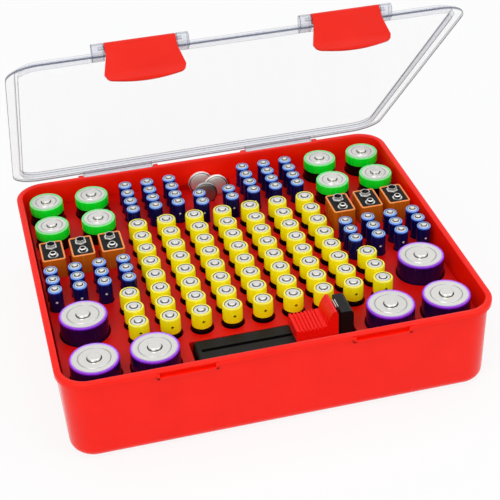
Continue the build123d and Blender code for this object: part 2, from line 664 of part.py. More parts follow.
def latch(middle_x):
    """One latch: its side profile cut to its front outline, with the hook that goes under the catch bar."""
    profile, hook = latch_profile()
    body = along_x(profile, middle_x, LATCH_END_WIDTH) & latch_front(middle_x)
    return swing_open(body + along_x(hook, middle_x, CATCH_WIDTH))


# Tester

def in_slot(piece):
    """Moves a piece of the tester from its own frame into its slot in the tray."""
    return Pos(0, TESTER_Y, TESTER_SEAT) * piece


def tester_outline(inset):
    """The tester seen from its face, moved in by the inset: a long body with the fixed arm at one end."""
    half = TESTER_LENGTH / 2 - inset
    arm = TESTER_LENGTH / 2 - ARM_WIDTH + inset
    body_top = TESTER_HEIGHT - inset
    arm_top = TESTER_HEIGHT + ARM_HEIGHT - inset
    outline = Polygon(
        (-half, inset), (half, inset), (half, arm_top), (arm, arm_top), (arm, body_top), (-half, body_top),
        align=None,
    )
    ends = outline.vertices().filter_by(lambda corner: abs(corner.X) > arm + ARM_WIDTH / 4)
    return fillet(ends, ARM_ROUND)


def tester_half(side):
    """One hollow half of the tester case, on the side given by the sign of y, with its half of the track."""
    depth = TESTER_THICKNESS / 2
    half = extrude(Plane.XZ * tester_outline(0), amount=-side * depth)
    half -= extrude(Plane.XZ * tester_outline(TESTER_WALL), amount=-side * (depth - TESTER_WALL))
    low_x = -TESTER_LENGTH / 2 + TRACK_END
    high_x = TESTER_LENGTH / 2 - ARM_WIDTH - TESTER_WALL
    low = (low_x, -TRACK_WIDTH / 2, TESTER_HEIGHT - TESTER_WALL - OVERRUN)
    return half - box_between(low, (high_x, TRACK_WIDTH / 2, TESTER_HEIGHT + OVERRUN))


def window_block(shrink, front, back):
    """A block with the outline of the dial window between two depths."""
    outline = RectangleRounded(WINDOW_WIDTH - 2 * shrink, WINDOW_HEIGHT - 2 * shrink, WINDOW_CORNER - shrink)
    outline = Plane.XZ.offset(-back) * Pos(WINDOW_X, WINDOW_Z) * outline
    return extrude(outline, amount=back - front)


def across_y(radius, x, z, front, back):
    """A round rod lying along Y between two depths."""
    return extrude(Plane.XZ.offset(-back) * Pos(x, z) * Circle(radius), amount=back - front)


FRONT_SIDE = -1
BACK_SIDE = 1
FACE_Y = FRONT_SIDE * TESTER_THICKNESS / 2
CARD_FRONT = FACE_Y + CARD_DEPTH
PIVOT_Z = WINDOW_Z + WINDOW_HEIGHT / 2 - NEEDLE_DROP
PANE_BACK = FACE_Y + WINDOW_PANE
HUB_FRONT = CARD_FRONT - HUB_LENGTH - COVER_GAP


def tester_front_shell():
    """The half of the tester case with the dial window."""
    hole = window_block(0, FACE_Y - OVERRUN, FACE_Y + TESTER_WALL + OVERRUN)
    return in_slot(tester_half(FRONT_SIDE) - hole)


def tester_back_shell():
    """The plain half of the tester case."""
    return in_slot(tester_half(BACK_SIDE))


def tester_window():
    """The clear pane in the dial window."""
    return in_slot(window_block(WINDOW_PLAY, FACE_Y, PANE_BACK))


def tester_dial_card():
    """The card with the dial, behind the window, with the hole for the needle shaft."""
    half_x = WINDOW_WIDTH / 2 + CARD_MARGIN
    half_z = WINDOW_HEIGHT / 2 + CARD_MARGIN
    low = (WINDOW_X - half_x, CARD_FRONT, WINDOW_Z - half_z)
    card = box_between(low, (WINDOW_X + half_x, CARD_FRONT + CARD_THICKNESS, WINDOW_Z + half_z))
    hole = across_y(CARD_HOLE, WINDOW_X, PIVOT_Z, CARD_FRONT - OVERRUN, CARD_FRONT + CARD_THICKNESS + OVERRUN)
    return in_slot(card - hole)


def tester_needle():
    """The pointer with its hub and the shaft that runs into the movement."""
    front = HUB_FRONT
    pointer = Polygon((NEEDLE_WIDTH, 0), (-NEEDLE_WIDTH, 0), (0, -NEEDLE_LENGTH), align=None)
    pivot = Plane.XZ.offset(-front - NEEDLE_THICKNESS) * Pos(WINDOW_X, PIVOT_Z)
    needle = extrude(pivot * Rot(0, 0, NEEDLE_REST_ANGLE) * pointer, amount=NEEDLE_THICKNESS)
    needle += across_y(HUB_RADIUS, WINDOW_X, PIVOT_Z, front, front + HUB_LENGTH)
    needle += across_y(SHAFT_RADIUS, WINDOW_X, PIVOT_Z, front, front + HUB_LENGTH + SHAFT_DEPTH)
    return in_slot(needle)


def tester_pivot_cover():
    """The dark half disc that hides the needle hub, against the back of the pane."""
    back = PANE_BACK + COVER_THICKNESS
    low = PIVOT_Z - HUB_RADIUS
    high = WINDOW_Z + WINDOW_HEIGHT / 2 - WINDOW_PLAY
    disc = Pos(WINDOW_X, PIVOT_Z) * Circle(COVER_RADIUS)
    above = Pos(WINDOW_X, (low + high) / 2) * Rectangle(2 * COVER_RADIUS, high - low)
    return in_slot(extrude(Plane.XZ.offset(-back) * (disc & above), amount=COVER_THICKNESS))


def tester_movement():
    """The meter movement behind the card, with the bore of the needle shaft."""
    front = CARD_FRONT + CARD_THICKNESS
    half = MOVEMENT_SIZE / 2
    low = (WINDOW_X - half, front, WINDOW_Z - half)
    body = box_between(low, (WINDOW_X + half, front + MOVEMENT_DEPTH, WINDOW_Z + half))
    bore = across_y(SHAFT_RADIUS + PIN_PLAY, WINDOW_X, PIVOT_Z, front - OVERRUN, front + SHAFT_DEPTH)
    return in_slot(body - bore)


def tester_load_resistor():
    """The resistor that loads the cell under test, lying on the floor of the case."""
    height = TESTER_WALL + SEAT_GAP + RESISTOR_RADIUS
    return in_slot(rod(RESISTOR_RADIUS, 0, height, RESISTOR_X, RESISTOR_LENGTH))


def tester_slider():
    """The sliding jaw: a ribbed thumb pad that sweeps up to the jaw."""
    low = TESTER_HEIGHT + SLIDER_LIFT
    pad = low + SLIDER_HEIGHT
    left = SLIDER_REST
    right = left + SLIDER_LENGTH
    root = right - JAW_LENGTH
    top = pad + JAW_RISE
    with BuildSketch() as side:
        with BuildLine():
            Polyline((root, pad), (left, pad), (left, low), (right, low), (right, top - JAW_CREST))
            TangentArc((right, top - JAW_CREST), (right - JAW_CREST, top), tangent=(0, 1))
            ThreePointArc((right - JAW_CREST, top), (root + JAW_CREST / 2, top - JAW_RISE / 2), (root, pad))
        make_face()
    body = extrude(Plane.XZ.offset(FACE_Y) * side.sketch, amount=TESTER_THICKNESS)
    step = (root - left - 2 * RIB_EDGE) / RIB_COUNT
    for index in range(RIB_COUNT):
        x = left + RIB_EDGE + step * index
        groove_low = (x, FACE_Y - OVERRUN, pad - RIB_DEPTH)
        body -= box_between(groove_low, (x + step / 2, -FACE_Y + OVERRUN, pad + OVERRUN))
    return in_slot(body)


def tester_slider_clip():
    """The clip under the sliding jaw: a stem through the track and a foot that runs inside the case."""
    left = SLIDER_REST
    right = SLIDER_REST + SLIDER_LENGTH - JAW_LENGTH
    stem = TRACK_WIDTH / 2 - STEM_PLAY
    foot_top = TESTER_HEIGHT - TESTER_WALL - STEM_PLAY
    foot = box_between((left, -FOOT_WIDTH / 2, foot_top - FOOT_HEIGHT), (right, FOOT_WIDTH / 2, foot_top))
    return in_slot(foot + box_between((left, -stem, foot_top), (right, stem, TESTER_HEIGHT + SLIDER_LIFT)))


def contact_strip(x):
    """A springy metal strip across the gap side of a jaw, standing a little proud of its top."""
    top = TESTER_HEIGHT + ARM_HEIGHT + CONTACT_PROUD
    low = (x, -CONTACT_WIDTH / 2, TESTER_HEIGHT + SLIDER_LIFT)
    return in_slot(box_between(low, (x + CONTACT_THICKNESS, CONTACT_WIDTH / 2, top)))


def tester_slider_contact():
    """The contact strip on the sliding jaw."""
    return contact_strip(SLIDER_REST + SLIDER_LENGTH)


def tester_arm_contact():
    """The contact strip on the fixed arm."""
    return contact_strip(TESTER_LENGTH / 2 - ARM_WIDTH - CONTACT_THICKNESS)


def tester_end_contacts():
    """The two contact plates on the end of the tester, for block cells."""
    face = TESTER_LENGTH / 2
    half = END_CONTACT_SIZE / 2
    plates = []
    for side in (-1, 1):
        z = TESTER_HEIGHT / 2 + side * END_CONTACT_PITCH / 2
        plates.append(box_between((face, -half, z - half), (face + END_CONTACT_THICKNESS, half, z + half)))
    return [in_slot(plate) for plate in plates]


# Every node of the part, one file each

NODES = {
    "base_shell": base_shell(),
    "insert_tray": insert_tray(),
    "lid": lid(),
    "latch_left": latch(-LATCH_X),
    "latch_right": latch(LATCH_X),
    "aa_cells": round_cells(AA),
    "aaa_cells": round_cells(AAA),
    "c_cells": round_cells(C_SIZE),
    "d_cells": round_cells(D_SIZE),
    "block_cells": block_cells(),
    "coin_cells": coin_cells(),
    "tester_front_shell": tester_front_shell(),
    "tester_back_shell": tester_back_shell(),
    "tester_window": tester_window(),
    "tester_dial_card": tester_dial_card(),
    "tester_needle": tester_needle(),
    "tester_pivot_cover": tester_pivot_cover(),
    "tester_movement": tester_movement(),
    "tester_load_resistor": tester_load_resistor(),
    "tester_slider": tester_slider(),
    "tester_slider_clip": tester_slider_clip(),
    "tester_slider_contact": tester_slider_contact(),
    "tester_arm_contact": tester_arm_contact(),
    "tester_end_contacts": tester_end_contacts(),
}

os.makedirs("parts", exist_ok=True)
for name, shape in NODES.items():
    group = Compound(shape) if isinstance(shape, list) else shape
    export_step(group, f"parts/{name}.step")
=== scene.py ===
import logging
from dataclasses import dataclass
from enum import Enum, IntEnum
from functools import cache
from math import cos, pi, radians, sin, sqrt
from typing import Callable, Optional

import bpy
from bpy.types import Material, MeshPolygon, Node, NodeSocket, NodeTree, Object
from mathutils import Matrix, Vector


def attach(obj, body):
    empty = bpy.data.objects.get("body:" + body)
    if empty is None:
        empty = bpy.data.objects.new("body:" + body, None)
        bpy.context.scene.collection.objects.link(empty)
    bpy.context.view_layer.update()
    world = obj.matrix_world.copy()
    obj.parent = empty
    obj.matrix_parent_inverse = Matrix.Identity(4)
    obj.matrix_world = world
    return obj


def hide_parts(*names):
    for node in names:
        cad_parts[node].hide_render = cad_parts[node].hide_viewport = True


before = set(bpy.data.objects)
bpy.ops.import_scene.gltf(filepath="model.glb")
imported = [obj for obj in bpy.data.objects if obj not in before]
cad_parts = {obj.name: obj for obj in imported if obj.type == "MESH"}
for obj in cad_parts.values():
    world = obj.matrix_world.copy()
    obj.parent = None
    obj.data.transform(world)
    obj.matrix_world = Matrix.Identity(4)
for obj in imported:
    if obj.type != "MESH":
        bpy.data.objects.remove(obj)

LOG = logging.getLogger("organizer")
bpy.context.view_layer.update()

# Lengths are in millimetres and angles in degrees, but the studio is in metres and radians
MM = 0.001
OVERRUN = 2.0

# What several pieces share, as the solids have it
CASE_WIDTH = 307.0
CASE_DEPTH = 268.0
CASE_BACK = CASE_DEPTH / 2
CASE_FRONT = -CASE_BACK
CASE_CORNER = 22.0
CORNER_STEPS = 14
RIM_LEVEL = 67.5
HINGE_X = 68.0
HINGE_Y = 135.2
HINGE_Z = 64.4
HINGE_WIDTH = 57.0
HINGE_ROUND = 3.0
LATCH_X = 67.5
LATCH_Y = -133.4
LATCH_Z = 73.8
LATCH_WIDTH = 45.5
LATCH_ROUND = 3.4
CATCH_WIDTH = 42.0
PIN_ROUND = 1.2
PLAY = 0.4
LID_OPEN = 45.0

# Left and right, the points of a round outline, and the least rise of the normal of a level face
BOTH_ENDS = (-1, 1)
RING_POINTS = 24
LEVEL = 0.9

Place = tuple[float, float]
Point = tuple[float, float, float]
Profile = list[Place]
FaceTest = Callable[[MeshPolygon], bool]
FaceSlot = Callable[[MeshPolygon], int]


# Nodes and finishes


def linear(code: str) -> tuple[float, float, float, float]:
    """Turns an sRGB hex colour into a linear one.

    Args:
        code: The colour as six hex digits.

    Returns:
        Red, green, blue and alpha for a shader socket.
    """
    parts = [int(code[i : i + 2], 16) / 255 for i in (0, 2, 4)]
    flat = [c / 12.92 if c <= 0.04045 else ((c + 0.055) / 1.055) ** 2.4 for c in parts]
    return flat[0], flat[1], flat[2], 1.0


def add_node(tree: NodeTree, kind: str, sockets: Optional[dict] = None, **settings) -> Node:
    """Adds a node with its settings, socket values and links.

    Args:
        tree: The node tree.
        kind: The node's type name.
        sockets: Input name or number to a value or to an output socket that feeds it.
        **settings: Attributes of the node.

    Returns:
        The node.
    """
    node = tree.nodes.new(kind)
    for key, value in settings.items():
        setattr(node, key, value)
    for key, value in (sockets or {}).items():
        if isinstance(value, NodeSocket):
            tree.links.new(value, node.inputs[key])
        else:
            node.inputs[key].default_value = value
    return node


def blank_material(name: str) -> tuple[Material, NodeTree]:
    """Makes a material with an empty node tree.

    Args:
        name: The material's name.

    Returns:
        The material and its tree.
    """
    material = bpy.data.materials.new(name)
    material.use_nodes = True
    material.node_tree.nodes.clear()
    return material, material.node_tree


@dataclass(frozen=True)
class Recipe:
    """How a finish is made: its colour, a darker shade where it has one, and how far its gloss wanders."""

    colour: str
    shade: str = ""
    roughness: float = 0.3
    tone_marks: Place = (0.3, 0.7)
    gloss_shares: Place = (0.85, 1.15)

    def set_tones(self, ramp: Node) -> None:
        """Lets a ramp run from the shade to the colour between the two tone marks.

        Args:
            ramp: The ramp node.
        """
        for stop, mark, code in zip(ramp.color_ramp.elements, self.tone_marks, (self.shade, self.colour)):
            stop.position = mark
            stop.color = linear(code)

    def gloss_range(self) -> dict:
        """The two ends of the roughness, by the numbers of their sockets on a Map Range node."""
        least, most = self.gloss_shares
        return {3: self.roughness * least, 4: self.roughness * most}

    def sockets(self, tree: NodeTree, place: NodeSocket) -> dict:
        """What the shader's sockets get; each kind of finish has its own."""
        raise NotImplementedError

    def make(self, name: str) -> Material:
        """Builds the material.

        Args:
            name: The material's name.

        Returns:
            The material.
        """
        material, tree = blank_material(name)
        place = add_node(tree, "ShaderNodeTexCoord").outputs["Object"]
        shader = add_node(tree, "ShaderNodeBsdfPrincipled", self.sockets(tree, place))
        add_node(tree, "ShaderNodeOutputMaterial", {"Surface": shader.outputs[0]})
        return material


@dataclass(frozen=True)
class MouldedPlastic(Recipe):
    """Injection-moulded plastic: an even body colour, a faint cloudiness and a fine skin on the gloss.

    A real skin is finer; it is drawn as coarse as it needs to be to show.
    """

    roughness: float = 0.34
    shine: float = 0.5
    ior: float = 1.53
    cloud_mm: float = 28.0
    skin_mm: float = 1.1
    skin_depth_mm: float = 0.012
    skin_strength: float = 0.35

    def sockets(self, tree: NodeTree, place: NodeSocket) -> dict:
        """What the shader's sockets get: clouded colour, scattered gloss and a fine bump.

        Args:
            tree: The node tree.
            place: The object's own coordinates.

        Returns:
            The sockets' names with their values and outputs.
        """
        clouds = {"Vector": place, "Scale": 1 / (self.cloud_mm * MM), "Detail": 3.0}
        cloud = add_node(tree, "ShaderNodeTexNoise", clouds)
        blend = add_node(tree, "ShaderNodeValToRGB", {"Fac": cloud.outputs["Fac"]})
        self.set_tones(blend)
        pores = {"Vector": place, "Scale": 1 / (self.skin_mm * MM), "Detail": 2.0}
        skin = add_node(tree, "ShaderNodeTexNoise", pores).outputs["Fac"]
        gloss = add_node(tree, "ShaderNodeMapRange", {0: skin, **self.gloss_range()})
        grain = {"Strength": self.skin_strength, "Distance": self.skin_depth_mm * MM, "Height": skin}
        bump = add_node(tree, "ShaderNodeBump", grain)
        return {
            "Base Color": blend.outputs["Color"],
            "Roughness": gloss.outputs[0],
            "Normal": bump.outputs["Normal"],
            "IOR": self.ior,
            "Specular IOR Level": self.shine,
        }


@dataclass(frozen=True)
class ClearStyrene(Recipe):
    """Clear moulded polystyrene: faces let light straight through, and slanting ones gather a bluish grey
    that is painted reflection.
    """

    roughness: float = 0.06
    gloss_shares: Place = (0.7, 1.4)
    shine: float = 0.06
    ior: float = 1.58
    clear: float = 0.05
    edge: float = 0.3
    slant: float = 0.35
    slant_blend: float = 0.35
    flow_mm: float = 45.0

    def sockets(self, tree: NodeTree, place: NodeSocket) -> dict:
        """What the shader's sockets get: one colour, less clear on slanting faces as painted reflection, with
        flow in its gloss.

        Args:
            tree: The node tree.
            place: The object's own coordinates.

        Returns:
            The sockets' names with their values and outputs.
        """
        currents = {"Vector": place, "Scale": 1 / (self.flow_mm * MM), "Detail": 2.0}
        flow = add_node(tree, "ShaderNodeTexNoise", currents)
        facing = add_node(tree, "ShaderNodeLayerWeight", {"Blend": self.slant_blend})
        limits = {1: self.slant, 2: 1.0, 3: self.clear, 4: self.edge}
        body = add_node(tree, "ShaderNodeMapRange", {0: facing.outputs["Facing"], **limits})
        gloss = add_node(tree, "ShaderNodeMapRange", {0: flow.outputs["Fac"], **self.gloss_range()})
        return {
            "Base Color": linear(self.colour),
            "Roughness": gloss.outputs[0],
            "Alpha": body.outputs[0],
            "IOR": self.ior,
            "Specular IOR Level": self.shine,
        }


@dataclass(frozen=True)
class PrintedFilm(Recipe):
    """Shrunk printed film or ink: a solid colour under a glossy skin with faint lengthwise streaks."""

    roughness: float = 0.26
    tone_marks: Place = (0.25, 0.75)
    gloss_shares: Place = (0.8, 1.2)
    shine: float = 0.4
    coat_share: float = 0.3
    streak_mm: float = 2.2
    streak_draw: Point = (1.0, 1.0, 0.12)

    def sockets(self, tree: NodeTree, place: NodeSocket) -> dict:
        """What the shader's sockets get: streaked colour and gloss under a thin coat.

        Args:
            tree: The node tree.
            place: The object's own coordinates.

        Returns:
            The sockets' names with their values and outputs.
        """
        drawn = add_node(tree, "ShaderNodeMapping", {"Vector": place, "Scale": self.streak_draw})
        streaks = {"Vector": drawn.outputs[0], "Scale": 1 / (self.streak_mm * MM), "Detail": 2.0}
        streak = add_node(tree, "ShaderNodeTexNoise", streaks).outputs["Fac"]
        ink = add_node(tree, "ShaderNodeValToRGB", {"Fac": streak})
        self.set_tones(ink)
        gloss = add_node(tree, "ShaderNodeMapRange", {0: streak, **self.gloss_range()})
        return {
            "Base Color": ink.outputs["Color"],
            "Roughness": gloss.outputs[0],
            "Specular IOR Level": self.shine,
            "Coat Weight": self.coat_share * self.shine,
        }


@dataclass(frozen=True)
class PlatedSteel(Recipe):
    """Nickel-plated steel, drawn and tumbled: bright, with a fine satin scatter in its tone and gloss.

    A real satin is finer; it is drawn as coarse as it needs to be to show.
    """

    satin_mm: float = 0.7

    def sockets(self, tree: NodeTree, place: NodeSocket) -> dict:
        """What the shader's sockets get: a metal with satin in its tone and gloss.

        Args:
            tree: The node tree.
            place: The object's own coordinates.

        Returns:
            The sockets' names with their values and outputs.
        """
        scatter = {"Vector": place, "Scale": 1 / (self.satin_mm * MM), "Detail": 2.0}
        satin = add_node(tree, "ShaderNodeTexNoise", scatter).outputs["Fac"]
        tone = add_node(tree, "ShaderNodeValToRGB", {"Fac": satin})
        self.set_tones(tone)
        gloss = add_node(tree, "ShaderNodeMapRange", {0: satin, **self.gloss_range()})
        return {"Base Color": tone.outputs["Color"], "Roughness": gloss.outputs[0], "Metallic": 1.0}


class Finish(Enum):
    """The finishes of the part; each value is the material's name and its recipe."""

    # Dyed polypropylene: a deep red that stays saturated, with a soft, weak gloss
    CASE_RED = "red_polypropylene_case", MouldedPlastic("FE1A03", "F81602", roughness=0.22, shine=0.18)
    # The tray is a darker red, a painted shade for the shadow among the cells
    TRAY_PAINTED_SHADE_RED = "red_polypropylene_painted_shade_tray", MouldedPlastic("D80E06", "CE0B04", roughness=0.4, shine=0.14)
    LATCH_RED = "red_polypropylene_latch", MouldedPlastic("E8200A", "E01A08", roughness=0.3, shine=0.14)
    # Dyed ABS: as red as the case, a little harder in its gloss
    SLIDER_RED = "red_abs_moulded", MouldedPlastic("FA1A10", "F2140C", roughness=0.28, shine=0.14)
    # Clear polystyrene: all but invisible face on; the light grey where a wall stands edgewise is painted
    # reflection, the dark on edges and folds painted shade
    LID_PANEL = "clear_polystyrene_panel", ClearStyrene("EEF1FC", clear=0.02, edge=0.06)
    LID_FLANGE = "clear_polystyrene_flange", ClearStyrene("F6F8FC", clear=0.05, edge=0.15)
    LID_PAINTED_REFLECTION = "clear_polystyrene_painted_reflection", ClearStyrene("D2D7E4", clear=0.32, edge=0.5)
    LID_PAINTED_SHADE_EDGE = "clear_polystyrene_painted_shade_edge", ClearStyrene("4C5268", clear=0.8, edge=0.9)
    LID_PAINTED_SHADE_FOLD = "clear_polystyrene_painted_shade_fold", ClearStyrene("4A5068", clear=0.6, edge=0.8)
    PANE = "clear_polystyrene_pane", ClearStyrene("F4F6FA", shine=0.5)
    # Shrunk vinyl film: strong glossy ink; the paler copies where it folds over the rim and catches the light
    # are painted highlights
    YELLOW = "yellow_pvc_film", PrintedFilm("FFF20C", "FAEA06")
    YELLOW_PAINTED_HIGHLIGHT = "yellow_pvc_film_painted_highlight", PrintedFilm("FFF860", "FCF248")
    BLACK = "black_pvc_film", PrintedFilm("0A0A0C", "060608", shine=0.12)
    NAVY = "navy_pvc_film", PrintedFilm("0A1050", "060A3C", shine=0.2)
    BLUE = "blue_pvc_film", PrintedFilm("1C44B4", "163CA4")
    BLUE_PAINTED_HIGHLIGHT = "blue_pvc_film_painted_highlight", PrintedFilm("8CB8FF", "7CACFA")
    GREEN = "green_pvc_film", PrintedFilm("06EC28", "04E222", shine=0.3)
    GREEN_PAINTED_HIGHLIGHT = "green_pvc_film_painted_highlight", PrintedFilm("90F59C", "80F090")
    PLUM = "plum_pvc_film", PrintedFilm("220640", "180430", shine=0.2)
    PURPLE = "purple_pvc_film", PrintedFilm("6218B8", "5614A8")
    PURPLE_PAINTED_HIGHLIGHT = "purple_pvc_film_painted_highlight", PrintedFilm("A444F4", "983AEA")
    PURPLE_PAINTED_GLINT = "purple_pvc_film_painted_glint", PrintedFilm("E0BCFF", "D6ACFC")
    # The block cells' film: orange darkened on the sides as painted shade, with a pale copy on the rim as
    # painted highlight
    ORANGE_PAINTED_SHADE = "orange_film_painted_shade", PrintedFilm("C46010", "B8560C")
    BLOCK_RIM_PAINTED_HIGHLIGHT = "pale_orange_film_painted_highlight", PrintedFilm("FF9A4C", "FA8E3C")
    # Printing ink on film and card: flat, dense colour
    WHITE_INK = "white_printing_ink", PrintedFilm("F2F4F8", "E8EAEE", roughness=0.4)
    RED_INK = "red_printing_ink", PrintedFilm("D81E18", "CE1812", roughness=0.5)
    YELLOW_INK = "yellow_printing_ink", PrintedFilm("F2C814", "EABE0E", roughness=0.5)
    GREEN_INK = "green_printing_ink", PrintedFilm("2A9A3C", "229034", roughness=0.5)
    # Plated steel: light satin caps; the duller pressed rings, the front coin and the dark folds are painted
    # shade, the paler coins behind a painted highlight
    STEEL = "nickel_plated_steel", PlatedSteel("DEDDD9", "D4D3CF")
    STEEL_PAINTED_HIGHLIGHT = "plated_steel_painted_highlight", PlatedSteel("F0F0EC", "E6E6E2", roughness=0.55)
    SATIN_AND_PAINTED_SHADE_STEEL = "satin_and_painted_shade_plated_steel", PlatedSteel("B2B2B0", "A6A6A4", roughness=0.42)
    STEEL_PAINTED_SHADE = "plated_steel_painted_shade", PlatedSteel("3E3E3E", "323232", roughness=0.4)
    # Nylon, fibre board, ABS, phenolic, card and enamel: matt, with a fine even grain like moulded plastic
    SEAL = "black_nylon_seal", MouldedPlastic("161617", "0E0E0F", roughness=0.5, shine=0.3)
    BOARD = "black_fibre_board", MouldedPlastic("0C0C0D", "070708", roughness=0.6, shine=0.15)
    CHARCOAL = "charcoal_abs_textured", MouldedPlastic(
        "101011", "0B0B0C", roughness=0.42, shine=0.15, skin_mm=0.8
    )
    PHENOLIC = "dark_phenolic_moulded", MouldedPlastic("242325", "1D1C1E", roughness=0.5)
    CARD = "white_coated_card", MouldedPlastic("F4F4F1", "ECECE8", roughness=0.55)
    NEEDLE = "red_enamel_needle", MouldedPlastic("D8231C", "CE1B15", roughness=0.35)

    @cache
    def material(self) -> Material:
        """The finish's material, built when it is first asked for."""
        name, recipe = self.value
        return recipe.make(name)


# Working by hand in edit mode


def clear_selection() -> None:
    """Leaves edit mode and deselects everything."""
    if bpy.context.object and bpy.context.object.mode != "OBJECT":
        bpy.ops.object.mode_set(mode="OBJECT")
    bpy.ops.object.select_all(action="DESELECT")


def take(obj: Object) -> None:
    """Selects one object and makes it the active one.

    Args:
        obj: The object.
    """
    clear_selection()
    obj.select_set(True)
    bpy.context.view_layer.objects.active = obj


def settle(obj: Object) -> None:
    """Puts an object's place, turn and size into its mesh."""
    take(obj)
    bpy.ops.object.transform_apply(location=True, rotation=True, scale=True)


def open_mesh() -> Object:
    """Settles the primitive just added and enters edit mode with all of its corners selected.

    Returns:
        The object.
    """
    obj = bpy.context.object
    settle(obj)
    bpy.ops.object.mode_set(mode="EDIT")
    bpy.ops.mesh.select_mode(type="VERT")
    bpy.ops.mesh.select_all(action="SELECT")
    return obj


def close_mesh() -> None:
    """Turns all faces of the closed shape in edit mode outwards and leaves edit mode."""
    bpy.ops.mesh.select_all(action="SELECT")
    bpy.ops.mesh.normals_make_consistent(inside=False)
    bpy.ops.object.mode_set(mode="OBJECT")


def pick_faces(obj: Object, test: FaceTest) -> None:
    """Enters edit mode with the faces selected that pass a test.

    Args:
        obj: The object.
        test: Takes a face and says whether it is wanted.
    """
    take(obj)
    bpy.ops.object.mode_set(mode="EDIT")
    bpy.ops.mesh.select_mode(type="FACE")
    bpy.ops.mesh.select_all(action="DESELECT")
    bpy.ops.object.mode_set(mode="OBJECT")
    for face in obj.data.polygons:
        face.select = test(face)
    bpy.ops.object.mode_set(mode="EDIT")


def smooth(obj: Object, angle: float) -> None:
    """Shades a piece smooth except over edges sharper than the angle."""
    take(obj)
    bpy.ops.object.shade_smooth_by_angle(angle=radians(angle))


def round_edges(obj: Object, width: float, segments: int = 2, angle: float = 40.0) -> None:
    """Bevels the sharp edges of a piece.

    Args:
        obj: The piece.
        width: Width of the bevel.
        segments: Steps across it.
        angle: Edges sharper than this are taken.
    """
    take(obj)
    edge = obj.modifiers.new("edge", "BEVEL")
    edge.width = width * MM
    edge.segments = segments
    edge.limit_method = "ANGLE"
    edge.angle_limit = radians(angle)
    bpy.ops.object.modifier_apply(modifier="edge")


def combine(obj: Object, tool: Object, operation: str = "DIFFERENCE") -> None:
    """Cuts a tool out of a piece, or keeps what they share, and removes the tool.

    Args:
        obj: The piece.
        tool: The other shape.
        operation: The modifier's name for what is done.
    """
    take(obj)
    cut = obj.modifiers.new("cut", "BOOLEAN")
    cut.operation = operation
    cut.solver = "EXACT"
    cut.object = tool
    bpy.ops.object.modifier_apply(modifier="cut")
    bpy.data.objects.remove(tool, do_unlink=True)


def merge(pieces: list[Object]) -> Object:
    """Joins several pieces into the first one.

    Args:
        pieces: The pieces.

    Returns:
        The joined piece.
    """
    take(pieces[0])
    for piece in pieces:
        piece.select_set(True)
    if len(pieces) > 1:
        bpy.ops.object.join()
    return bpy.context.object


def dress(obj: Object, finishes: list[Finish], choose: FaceSlot = lambda face: 0) -> None:
    """Gives an object its finishes.

    Args:
        obj: The object.
        finishes: The finishes in slot order.
        choose: Takes a face and returns the number of its slot.
    """
    obj.data.materials.clear()
    for finish in finishes:
        obj.data.materials.append(finish.material())
    for face in obj.data.polygons:
        face.material_index = choose(face)


@dataclass
class Piece:
    """A piece of the part: its name, the body it moves with, its slot (not used) and the solid that it stands
    for.
    """

    name: str
    body: str
    slot: str
    replaces: Optional[str]

    def model(self) -> Object:
        """Models and dresses the piece; each kind of piece has its own way."""
        raise NotImplementedError

    def build(self) -> None:
        """Models the piece, names it, hangs it on its body, hides the solid that it stands for and logs it.
        """
        obj = self.model()
        obj.name = self.name
        obj.data.name = self.name
        clear_selection()
        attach(obj, self.body)
        if self.replaces:
            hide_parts(self.replaces)
        LOG.info("%s rides on %s with %d faces", self.name, self.body, len(obj.data.polygons))


# Basic shapes


Ring = tuple[float, float, Finish]


def turned(profile: Profile, sides: int) -> Object:
    """Turns a profile round the Z axis by extruding and sizing one ring after another.

    Args:
        profile: Radius and height, from the bottom to the top; both ends are closed.
        sides: Sides of the rings.

    Returns:
        The closed piece, at the origin.
    """
    clear_selection()
    radius, height = profile[0]
    spot = (0, 0, height * MM)
    bpy.ops.mesh.primitive_circle_add(vertices=sides, radius=radius * MM, fill_type="NGON", location=spot)
    obj = open_mesh()
    for next_radius, next_height in profile[1:]:
        rise = (next_height - height) * MM
        bpy.ops.mesh.extrude_region_move(TRANSFORM_OT_translate={"value": (0, 0, rise)})
        ratio = next_radius / radius
        bpy.ops.transform.resize(value=(ratio, ratio, 1), center_override=(0, 0, next_height * MM))
        radius, height = next_radius, next_height
    close_mesh()
    return obj


def turned_in_bands(rings: list[Ring], sides: int, angle: float) -> Object:
    """Turns a profile round the Z axis, gives every band between two rings its finish and smooths it.

    Args:
        rings: Radius, height and the finish of the band that ends there; the first and the last finish also
            go on the closed ends.
        sides: Sides of the rings.
        angle: Edges sharper than this stay sharp.

    Returns:
        The closed piece, at the origin.
    """
    finishes = list(dict.fromkeys(finish for _, _, finish in rings))
    flat = cos(pi / sides)

    def choose(face: MeshPolygon) -> int:
        """Finds the band or end that a face belongs to.

        Args:
            face: A face of the turned piece.

        Returns:
            Its slot.
        """
        if len(face.vertices) > 4:
            end = rings[-1] if face.normal.z > 0 else rings[0]
            return finishes.index(end[2])
        reach = Vector((face.center.x, face.center.y)).length / MM
        height = face.center.z / MM
        misses = []
        for (r0, z0, _), (r1, z1, finish) in zip(rings, rings[1:]):
            miss = abs(reach - flat * (r0 + r1) / 2) + abs(height - (z0 + z1) / 2)
            misses.append((miss, finishes.index(finish)))
        return min(misses)[1]

    piece = turned([(radius, height) for radius, height, _ in rings], sides)
    dress(piece, finishes, choose)
    smooth(piece, angle)
    return piece


